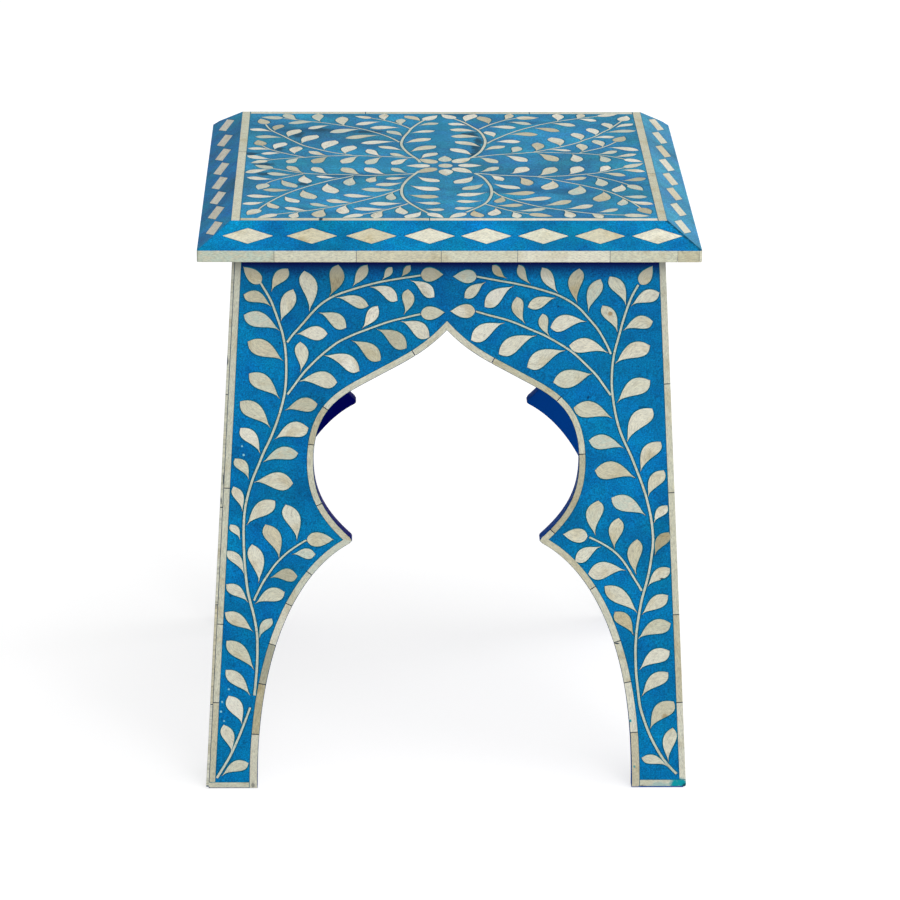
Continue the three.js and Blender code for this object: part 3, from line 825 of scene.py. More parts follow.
# Drawing of one panel, the same on all four sides, with widths of the bone that shows. Stems are a width
# and the points of a line that runs the way they grow. Buds are rows of base, tip, width and kind (0
# plain, 1 pale, 2 tan, 3 cool, 4 dull, 5 dark, 6 warm), and leaves have two widths, left and right of
# the way to the tip.
panel_stems = {
    "left_foot": (2.0, [
        (-179.8, 9.2), (-175.7, 16), (-171, 24), (-167, 32), (-163.6, 40), (-161.2, 45.6), (-159.6, 50),
        (-156.6, 58), (-153.3, 67.3),
    ]),
    "left_main": (2.0, [
        (-149.9, 77.3), (-149.2, 84), (-148.5, 92), (-147.8, 100), (-147.4, 109), (-147.3, 118),
        (-147.3, 125.7), (-148.3, 133.7), (-149.7, 141.7), (-151, 147.5), (-152.5, 153.3), (-153.8, 158.5),
        (-154.6, 163.3), (-155.4, 170), (-156.4, 181), (-157, 192), (-157.3, 203.3), (-157.2, 215),
        (-156.4, 226.3), (-154.7, 235.7), (-152.3, 245), (-149.3, 254.3), (-145.4, 263.5), (-141.3, 274),
        (-137.3, 282), (-134.3, 289.3), (-131, 298), (-127.7, 308.7), (-126.1, 315.3), (-125.1, 320),
        (-124, 330), (-123.7, 340), (-123.9, 349.3), (-124.4, 356), (-125.5, 362.7), (-126.8, 369.3),
        (-128.7, 374.7), (-130.3, 380), (-132, 384.7), (-134, 390.7), (-135.9, 395), (-138.1, 399),
        (-140.3, 402.5), (-142.9, 406.9),
    ]),
    "left_upper": (1.7, [
        (-122.9, 360.6), (-120.7, 364), (-118, 367.3), (-112, 374), (-106, 381.3), (-100, 388),
        (-96, 391.3), (-91.3, 394.7), (-86.7, 397), (-82, 399), (-76.7, 400.7), (-70.7, 402.7),
        (-64, 404.7), (-58.3, 406.2), (-51.5, 407.9), (-44.7, 409.1), (-38, 410.3), (-31.3, 411.3),
        (-26, 412.1), (-21.5, 412.8),
    ]),
    "left_lower": (1.7, [
        (-123, 319.6), (-120, 323.5), (-117.3, 327.3), (-113.2, 333.2), (-109.7, 337.7), (-105.7, 342),
        (-101.7, 346), (-97.7, 350), (-93.7, 353.3), (-89.7, 356.7), (-85, 360.3), (-81, 362.7),
        (-77, 364.3), (-71.7, 367), (-66.3, 369), (-61, 371), (-54.6, 373.5), (-44.7, 377), (-38, 378.7),
        (-31.3, 380.3), (-26, 381.7), (-21.5, 382.6),
    ]),
    "left_cusp": (1.7, [
        (-149.7, 154.7), (-148, 158.7), (-146, 162.7), (-142, 170.7), (-139.3, 174.7), (-136.7, 178.7),
        (-134, 182.7), (-131.3, 186), (-128, 189.3), (-124.7, 192.7), (-121.3, 195.3), (-116.7, 198.7),
        (-112.7, 201.3), (-109, 203.4),
    ]),
    "right_main": (2.0, [
        (180.8, 11.9), (177.3, 15.3), (172, 21.3), (167.7, 27.7), (163.7, 34.7), (160.2, 41.7),
        (156.9, 49.3), (153.7, 58.7), (151, 67.3), (150.3, 72), (149, 82.7), (147.7, 93.3), (147, 104.3),
        (146.7, 115), (147, 125), (147.8, 134.3), (149, 143), (150, 150.3), (151.7, 158.8), (154, 167.3),
        (156, 176.7), (157.5, 186.7), (158.7, 198), (158.9, 203.3), (158.2, 211.7), (156.7, 222.3),
        (154.3, 232.3), (152, 241), (148.7, 250.3), (145, 259.7), (142, 267.5), (138.6, 275.3),
        (134.7, 283.3), (131.3, 292), (128.9, 300.7), (127.2, 309), (126.2, 315.3), (125.3, 321),
        (124.8, 329.3), (125, 339.3), (125.9, 348.7), (127.5, 356.7), (130, 366), (132, 374.6),
        (134.7, 384), (137.3, 392), (140.4, 399.3), (142.3, 402.7), (144, 405.5),
    ]),
    "right_upper": (1.7, [
        (123.9, 351.4), (121.3, 357.3), (116.7, 366), (112, 373.2), (108.7, 376.7), (105.3, 380.7),
        (102, 384.7), (98.7, 388), (94.7, 390.9), (90, 394), (86, 396), (82, 398), (76.7, 399.7),
        (70, 401.7), (63.3, 403.7), (56.7, 405), (48.3, 407), (41.7, 408), (35, 409.3), (28.3, 410.5),
        (21.3, 411.8),
    ]),
    "right_lower": (1.7, [
        (124.2, 319), (120, 324.9), (116.5, 330), (113.2, 334.7), (108.7, 339.3), (104, 344), (100, 348),
        (96, 351.7), (92, 354.7), (88, 357.3), (83.3, 360.3), (78, 363.3), (73.3, 366), (68.7, 368),
        (64, 369.9), (55, 374), (48.3, 376.7), (41.7, 379), (35, 380.6), (25.7, 383.2), (20.7, 384.8),
    ]),
    "right_cusp": (1.7, [
        (150.7, 162.3), (148.3, 166.7), (145.7, 170.7), (143.3, 174.7), (141, 178.7), (138.7, 182.7),
        (136.3, 186), (133.3, 189.7), (130.3, 193), (127, 195.7), (123.7, 198), (119.7, 200.3),
        (115.7, 202.7), (109.5, 205.6),
    ]),
}
# Near the top of the panel, under the seat's overhang, kind 4 (dull) is partly painted shade: it darkens
# leaves and buds as the overhang's shadow does, besides giving their own tone.
panel_buds = [
    (-142.7, 407, -155.9, 419.5, 10.2, 4), (-21.3, 413.4, -4.2, 413.6, 11.1, 4),
    (-21.2, 383, -3, 384, 10.7, 0), (-108.5, 204, -88, 204, 11.6, 0), (145.6, 406, 154.5, 420.3, 9.8, 4),
    (21, 412, 3.1, 412, 10.5, 3), (20, 385.1, 1.1, 384.9, 10.9, 1), (108, 206.3, 89, 208, 11.5, 0),
]
panel_leaves = [
    (-134.9, 400.3, -122, 418, 5.9, 4, 4), (-135, 388.6, -155.8, 397.7, 3.3, 6.9, 4),
    (-128.3, 369.6, -155.8, 381.8, 5.2, 7.5, 3), (-127.8, 377, -118.1, 402, 5.7, 5.4, 0),
    (-106, 384.5, -109.7, 416.3, 4.7, 8.5, 0), (-90.7, 396.3, -84, 421, 4.7, 7.2, 2),
    (-73.1, 404.1, -61.9, 421, 3.9, 4.2, 4), (-50.7, 409.4, -43.2, 419.3, 2.6, 3.1, 4),
    (-36.2, 411.5, -29.3, 420.7, 2.4, 2.6, 2), (-86, 395.7, -61, 389, 5.5, 3.7, 0),
    (-60, 404, -39, 393.2, 6.8, 3.2, 1), (-29.3, 409, -11, 396, 5.9, 3.8, 1),
    (-66, 371.2, -54, 389, 4.1, 4.9, 1), (-34, 382.2, -31, 402, 3.8, 6, 0),
    (-99, 384, -78, 372, 6.8, 4.5, 0), (-116, 367, -92.2, 367.4, 6, 5.2, 1),
    (-55, 371, -32, 356, 7.4, 4.9, 4), (-36.7, 377.2, -14.8, 364.5, 7.3, 4.7, 1),
    (-74.1, 362, -51.8, 346.3, 7.1, 4.6, 4), (-94.7, 350.2, -68, 338, 8.4, 3.8, 1),
    (-113, 337, -113, 361, 4.2, 6.3, 0), (-114, 330, -85, 329, 8.4, 4.9, 0),
    (-126, 346, -153, 361, 5.9, 7.5, 6), (-128.8, 316.2, -152.1, 336, 5.4, 7.5, 0),
    (-125, 307, -100, 312, 7, 4.7, 4), (-136, 293, -159, 314, 5.4, 7.8, 0),
    (-132.8, 284.1, -107, 293, 8.5, 4.8, 0), (-144, 272.8, -159, 293, 4, 6.9, 1),
    (-142, 266, -115, 273, 8, 3.4, 3), (-152.9, 252, -163.5, 268.8, 3.3, 5.9, 0),
    (-149, 250, -119, 249, 8.5, 6, 0), (-158, 226.5, -164.8, 246.5, 3.1, 5.1, 0),
    (-154.9, 215.5, -132.9, 235, 7.6, 5, 0), (-116.1, 203, -124.8, 232, 4.8, 7.9, 0),
    (-129.9, 188.6, -140.5, 216, 4.6, 8, 4), (-160, 204, -167.5, 216, 2.5, 4.1, 0),
    (-145.9, 169, -150.9, 200.1, 4.8, 7.3, 0), (-157, 176, -169.9, 195, 3, 5.7, 0),
    (-120, 192, -102, 192, 4.9, 3.8, 3), (-137, 173.1, -116, 174.3, 6.8, 4.1, 4),
    (-149, 152, -125.9, 161.5, 7.4, 4.7, 0), (-154, 153, -171, 167.8, 3.8, 5.5, 0),
    (-150.5, 129.3, -172.2, 145, 4.8, 5.9, 0), (-146, 124, -135.9, 140.1, 5.1, 2.9, 3),
    (-149.9, 98, -171.2, 122, 4.9, 7.2, 0), (-153, 77, -172.1, 98.2, 4.4, 6.2, 0),
    (-159.6, 53.3, -170, 77, 5.2, 6.9, 1), (-168.1, 30, -174.1, 53.2, 4.1, 5.9, 0),
    (-176, 11, -155, 21.5, 6.4, 3.6, 0), (135, 389.2, 122.1, 412, 3.9, 6.6, 0),
    (138.7, 389.2, 160.1, 399.4, 6.4, 4.3, 0), (128.8, 368.3, 116.8, 389.4, 3.7, 6, 0),
    (133, 370, 155.5, 377, 7.3, 4, 0), (127.2, 343.8, 153.6, 358, 8.5, 5, 0),
    (129, 313, 154.2, 330.5, 8.7, 5.5, 0), (137.2, 281.8, 156.3, 308.3, 9.6, 5, 0),
    (148, 258.2, 163.2, 281.9, 8.6, 3.7, 0), (154.1, 237.9, 166.1, 259.2, 6.7, 4.3, 0),
    (159, 216.9, 169.3, 231.1, 4.8, 3.2, 1), (160.2, 190.8, 171, 209.5, 6, 3.7, 2),
    (155, 165.6, 172.2, 180.6, 6.1, 4, 0), (151, 142.8, 171.2, 158.5, 6.2, 4.9, 0),
    (148.3, 123, 173.7, 135.8, 8.3, 4.8, 0), (150, 97.8, 173.3, 113.2, 8.1, 4.8, 0),
    (152.1, 75.9, 172.5, 95.6, 7.6, 4.4, 0), (159.1, 49, 177.4, 71.6, 8.9, 5.2, 4),
    (174.1, 21.8, 177, 50.1, 6.5, 4.1, 0), (174, 18, 153, 25.2, 3, 5.4, 0),
    (122, 352.2, 92, 358, 4.2, 8.2, 1), (126, 300.5, 96, 309, 5.3, 8.5, 0),
    (135.4, 276.8, 108, 283, 5.1, 7.1, 3), (144.5, 253.2, 113, 259.1, 5.5, 9.6, 4),
    (153, 223, 126, 237.1, 5.7, 7.5, 3), (114.1, 207, 116, 235, 8.7, 4.7, 0),
    (129, 196, 132, 221.1, 6.4, 4.8, 0), (146.2, 175, 146.5, 204, 7.3, 4.3, 4),
    (118.7, 198.1, 98.9, 186.1, 4.2, 6.3, 0), (138, 178.9, 109, 176, 5.6, 8.6, 0),
    (148, 144, 121.9, 166, 5.3, 7.1, 0), (145, 126, 130.1, 145.2, 4.2, 6.7, 2),
    (83, 399, 70.6, 419, 5, 4.1, 0), (62, 406, 52.8, 421, 4.6, 2.5, 4),
    (44, 410.3, 32.8, 420.6, 3.9, 2.7, 2), (97.6, 391, 99, 418.2, 7.9, 3.8, 4),
    (106, 384, 115, 410, 6.3, 4.3, 3), (81.5, 395.6, 60, 388.1, 4.1, 5, 0),
    (49.3, 404.6, 27.3, 388.3, 4.6, 7, 1), (27.8, 407.7, 11.9, 395.2, 3.9, 4.8, 0),
    (58, 375.2, 51.6, 396.1, 6.3, 3.5, 0), (76.9, 365.1, 71.3, 383, 5.2, 3, 0),
    (104.9, 376.8, 77.5, 372.1, 4.5, 8.2, 0), (42.4, 375.9, 17.1, 362.2, 5, 7.4, 1),
    (67, 366, 38.3, 351.3, 5, 8, 0), (89.2, 354.3, 60.1, 340.9, 5, 8.4, 0),
    (110, 336, 80.1, 329, 6.9, 7.2, 0),
]

# Vines: each stem is a smooth line in a few glued lengths, and each leaf or bud swells from its base and
# runs out to a point. Stems are sunk by different hairs, and leaves by one, so that tops that overlap seldom
# lie in one plane.
span_steps = 12
point_spacing = 2.0
even_rounds = 4
stem_taper = 0.85
point_half = 0.14
leaf_rows = 19
leaf_rise = 1.35
full_side_lead = 0.4
full_side_fall = 0.8
thin_side_lag = 5
thin_side_fall = 0.85
bud_rows = 15
bud_swell = (0.52, 0.92)
stem_length = 58.0
stem_joint_half = 0.1
stem_joint_wander = 0.2
stem_sink = 0.004
leaf_sink = 0.012
stem_kind = 3
stem_tone = [0.3, 0.8, 0.9, 1]
base_wander = 0.3
width_wander = 0.08


def flowing_line(points):
    """A Catmull-Rom curve through the points, resampled evenly, then evened out between its ends by
    weighing each point 1 : 2 : 1 with its neighbours a few times."""
    points = np.array(points, float)
    ahead = np.vstack([points[1:], 2 * points[-1] - points[-2]])
    behind = np.vstack([2 * points[0] - points[1], points[:-1]])
    slopes = (ahead - behind) / 2
    t = np.linspace(0, 1, span_steps, endpoint=False)[None, :, None]
    start, end = points[:-1, None], points[1:, None]
    leave, arrive = slopes[:-1, None], slopes[1:, None]
    curve = ((2 * t ** 3 - 3 * t ** 2 + 1) * start + (t ** 3 - 2 * t ** 2 + t) * leave
             + (3 * t ** 2 - 2 * t ** 3) * end + (t ** 3 - t ** 2) * arrive).reshape(-1, 2)
    curve = np.vstack([curve, points[-1]])
    count = max(4, int(np.sum(step_lengths(curve)) / point_spacing))
    curve = resample(curve, np.linspace(0, 1, count))
    for _ in range(even_rounds):
        curve[1:-1] = (curve[:-2] + 2 * curve[1:-1] + curve[2:]) / 4
    return curve


def stem_edges(line, width):
    """Both edges of a stem, which thins a little towards its end."""
    half = np.linspace(width, width * stem_taper, len(line))[:, None] / 2 + stem_spread
    return line + left_normals(line) * half, line - left_normals(line) * half


def swell(t, rise, fall):
    """t^rise (1 - t)^fall, scaled to peak at 1: it peaks at rise / (rise + fall)."""
    peak = rise / (rise + fall)
    return t ** rise * (1 - t) ** fall / (peak ** rise * (1 - peak) ** fall)


def way_across(base, tip, rows):
    """Shares of the way from a base to a tip, close together at both ends, the points there, and the
    direction to the left."""
    t = 0.5 - 0.5 * np.cos(np.linspace(0, math.pi, rows))
    way = tip - base
    return t, base + way * t[:, None], np.array([-way[1], way[0]]) / np.linalg.norm(way)


def leaf_edges(base, tip, left_width, right_width):
    """Both edges of a leaf from its widths left and right of the way to the tip. It starts narrow at the
    stem. The fuller side swells early and the other late, so the tip turns over to the fuller side."""
    t, middle, side = way_across(base, tip, leaf_rows)
    lean = (left_width - right_width) / (left_width + right_width)
    edges = []
    for width, fuller, hand in ((left_width, lean, 1), (right_width, -lean, -1)):
        if fuller > 0:
            rise, fall = leaf_rise - full_side_lead * fuller, full_side_fall
        else:
            rise, fall = leaf_rise - thin_side_lag * fuller, thin_side_fall
        out = np.maximum(swell(t, rise, fall) * (width + leaf_spread), point_half)
        edges.append(middle + side * hand * out[:, None])
    return edges


def bud_edges(base, tip, width):
    """Both edges of a bud: round and full at the stem, drawn out to a point."""
    t, middle, side = way_across(base, tip, bud_rows)
    half = np.maximum(swell(t, *bud_swell) * (width / 2 + leaf_spread), point_half)[:, None]
    return middle + side * half, middle - side * half


def draw_vine(stems, leaves, buds, chance, wander):
    """Bars and pockets for a vine. The wander moves each leaf a little from its drawn place, as hand work
    does."""
    stem_bars, leaf_bars, pockets = [], [], []
    for number, (width, points) in enumerate(stems):
        line = flowing_line(points)
        left, right = stem_edges(line, width)
        pockets.append(bar_pocket(left, right))
        count = max(1, round(np.sum(step_lengths(line)) / stem_length))
        cuts = [(i + chance.uniform(-stem_joint_wander, stem_joint_wander)) / count for i in range(1, count)]
        for near, far in cut_lengths(left, right, cuts, gap=stem_joint_half):
            tone = bone_tone(chance, stem_kind) * stem_tone
            stem_bars.append(inlay_bar(near, far, tone, edge=stem_edge, sink=stem_sink * (number % 5)))
    for rows, edges_of in ((leaves, leaf_edges), (buds, bud_edges)):
        for row in rows:
            base = np.array(row[0:2]) + chance.normal(0, wander * base_wander, 2)
            tip = np.array(row[2:4]) + chance.normal(0, wander, 2)
            widths = np.array(row[4:-1]) * (1 + chance.normal(0, width_wander * wander))
            left, right = edges_of(base, tip, *widths)
            pockets.append(bar_pocket(left, right))
            tone = bone_tone(chance, row[-1])
            leaf_bars.append(inlay_bar(left, right, tone, edge=leaf_edge, sink=leaf_sink))
    return stem_bars, leaf_bars, pockets


# Blue resin: poured round the bone as a layer on the board, pierced where the bone lies, then sanded
# level and lacquered. It clouds a little, with dark specks, a few white pits and fine sanding marks.
panel_blue = (0.0, 0.16, 0.39, 1)
# resin_shaded is the deepest colour of the painted shade below the seat's overhang.
resin_shaded = (0.0, 0.003, 0.08, 1)
teal_ink = (0.0, 0.062, 0.12, 1)
stain_deep = (0.0, 0.07, 0.17, 1)
stain_teal = (0.004, 0.19, 0.34, 1)
speck_dark = (0.0, 0.02, 0.07, 1)
pit_white = (0.25, 0.6, 0.68, 1)

resin_clouds, given = new_group(
    "resin clouds", {"Place": "Vector", "Blue": "Color", "Stain": "Float", "Clouds": "Float"})
tree = resin_clouds
broad = noise(tree, given["Place"], 16, 3, 0.55)
middling = noise(tree, given["Place"], 95, 4, 0.6)
fine = noise(tree, given["Place"], 900, 3, 0.6)
hue = noise(tree, given["Place"], 38, 4, 0.6)
smears = noise(tree, given["Place"], 15, 4, 0.62, (0.42, 1.5, 1))
scuffs = noise(tree, given["Place"], 150, 3, 0.6, (0.12, 2.2, 1))


def swing(tree, value, amount):
    """A multiplier about 1 from a noise: 1 + (noise - 0.5) amount."""
    return times_plus(tree, calc(tree, "SUBTRACT", value, 0.5), amount, 1.0)


light = swing(tree, broad, calc(tree, "MULTIPLY", given["Clouds"], 1.1))
light = calc(tree, "MULTIPLY", light, swing(tree, middling, 0.5))
light = calc(tree, "MULTIPLY", light, swing(tree, fine, 2.5))
green = swing(tree, hue, calc(tree, "MULTIPLY", given["Clouds"], 0.75))
greener = calc(tree, "MULTIPLY", light, green)
colour = multiplied(tree, given["Blue"], light, greener, light)
deep = calc(tree, "MULTIPLY", ramp(tree, smears, 0.55, 0.72), given["Stain"])
colour = mix(tree, deep, colour, stain_deep)
teal = calc(tree, "MULTIPLY", ramp(tree, scuffs, 0.58, 0.75), calc(tree, "MULTIPLY", given["Stain"], 0.4))
colour = mix(tree, teal, colour, stain_teal)
cells = add_node(tree, "ShaderNodeTexVoronoi", {"Vector": given["Place"], "Scale": 70.0}).outputs
chosen = add_node(tree, "ShaderNodeSeparateColor", {"Color": cells["Color"]}).outputs
near = calc(tree, "SUBTRACT", 1.0, ramp(tree, cells["Distance"], 0.03, 0.07))
dark_speck = calc(tree, "MULTIPLY", near, calc(tree, "GREATER_THAN", chosen["Red"], 0.93))
white_pit = calc(tree, "MULTIPLY", near, calc(tree, "GREATER_THAN", chosen["Green"], 0.965))
colour = mix(tree, calc(tree, "MULTIPLY", dark_speck, 0.8), colour, speck_dark)
colour = mix(tree, calc(tree, "MULTIPLY", white_pit, 0.85), colour, pit_white)
rough = times_plus(tree, scuffs, 0.16, 0.48)
grit = calc(tree, "MAXIMUM", dark_speck, white_pit)
height = calc(tree, "SUBTRACT", calc(tree, "MULTIPLY", middling, 0.4), grit)
add_node(tree, "NodeGroupOutput", {"Color": colour, "Roughness": rough, "Height": height})


def resin_material(name, blue, stain, clouds, marks):
    """Lacquered resin of one blue, with as much staining and clouding as the place shows, and its marks."""
    material, tree = new_material(name)
    inputs = {"Place": object_place(tree), "Blue": blue, "Stain": stain, "Clouds": clouds}
    group = add_node(tree, "ShaderNodeGroup", inputs, node_tree=resin_clouds).outputs
    # Painted shade: resin just below the seat's overhang is darkened as if by the overhang's shadow.
    colour = painted_shade_under_band(tree, add_marks(tree, group["Color"], marks), resin_shaded)
    finish_surface(tree, colour, group["Roughness"], group["Height"], depth=0.00006,
                   Specular_IOR_Level=0.05)
    return material


pit_half = 0.9
speck_half = 1.1
resin_marks = [front_mark(across, height, pit_half, pit_half, pit_white) for across, height in (
    (-157.9, 278.5), (-156.8, 271.5), (-169.8, 82.3), (-175, 72.1), (-176, 64), (-173.8, 56.3))]
resin_marks += [front_mark(across, height, speck_half, speck_half, speck_dark, 0.8) for across, height in (
    (83.2, 388.7), (107, 317.2), (-153.3, 170), (-128.5, 360), (-168, 158))]
resin_marks.append(front_mark(149, 309.3, 3.6, 1, stain_deep, 0.8))
panel_resin = resin_material("panel_resin", panel_blue, stain=0.25, clouds=1.0, marks=resin_marks)
resin_gap = 0.1
inside_only = 1
merge_distance = 1e-4
hand_wander = 0.45
vine_seed = 7


def poured_sheet(outline, pockets):
    """Resin poured round bone. The area inside the outline but in no pocket is cut into triangles
    (constrained Delaunay), copied down by the layer's thickness, and walled along every free edge."""
    loops = [outline] + pockets
    starts = np.cumsum([0] + [len(loop) for loop in loops])
    rings = [list(range(start, end)) for start, end in zip(starts[:-1], starts[1:])]
    flat, _, triangles, _, _, owners = delaunay_2d_cdt(
        np.vstack(loops).tolist(), [], rings, inside_only, merge_distance, True)
    triangles = np.array([t for t, owner in zip(triangles, owners) if list(owner) == [0]])
    used, triangles = np.unique(triangles, return_inverse=True)
    triangles = triangles.reshape(-1, 3)
    flat = np.array([tuple(corner) for corner in flat])[used]
    count = len(flat)
    edges = np.vstack([triangles[:, [0, 1]], triangles[:, [1, 2]], triangles[:, [2, 0]]])
    free = edges[~np.isin(edges[:, 0] * count + edges[:, 1], edges[:, 1] * count + edges[:, 0])]
    walls = np.stack([free[:, 0], free[:, 0] + count, free[:, 1] + count, free[:, 1]], axis=1)
    points = np.vstack([np.c_[flat, np.zeros(count)], np.c_[flat, np.full(count, -layer_thickness)]])
    return points, triangles.tolist() + (triangles[:, ::-1] + count).tolist() + walls.tolist()


def field_outline():
    """Edge of a panel's resin, a fine gap inside its strips: along the arch, the feet and the top."""
    upper, lower = strip_back(resin_gap)
    arch = np.vstack([upper, lower[1:]])
    low = {hand: foot_high[hand] + resin_gap for hand in (1, -1)}
    inside = stile_width + resin_gap
    right = stile_line(inside, low[1], panel_high, 1)
    left = stile_line(inside + lap_depth, low[-1], panel_high, -1)
    left_arch = place_half(above(arch, low[-1]), -1)
    right_arch = place_half(above(arch, low[1]), 1)
    return np.vstack([left_arch[::-1], right_arch[1:], right, left[::-1]])


for turns, side in enumerate(sides):
    chance = np.random.default_rng(vine_seed + turns)
    wander = hand_wander if turns else 0.0
    stem_bars, leaf_bars, pockets = draw_vine(panel_stems.values(), panel_leaves, panel_buds, chance, wander)
    join_bars(f"vine_stems_{side}", stem_bars, on_panel, turns, bone_paints)
    join_bars(f"vine_leaves_{side}", leaf_bars, on_panel, turns, bone_paints)
    points, faces = poured_sheet(field_outline(), pockets)
    make_piece(f"resin_{side}", on_panel(points, turns), faces, [panel_resin],
               [f"panel_field_{side}"])

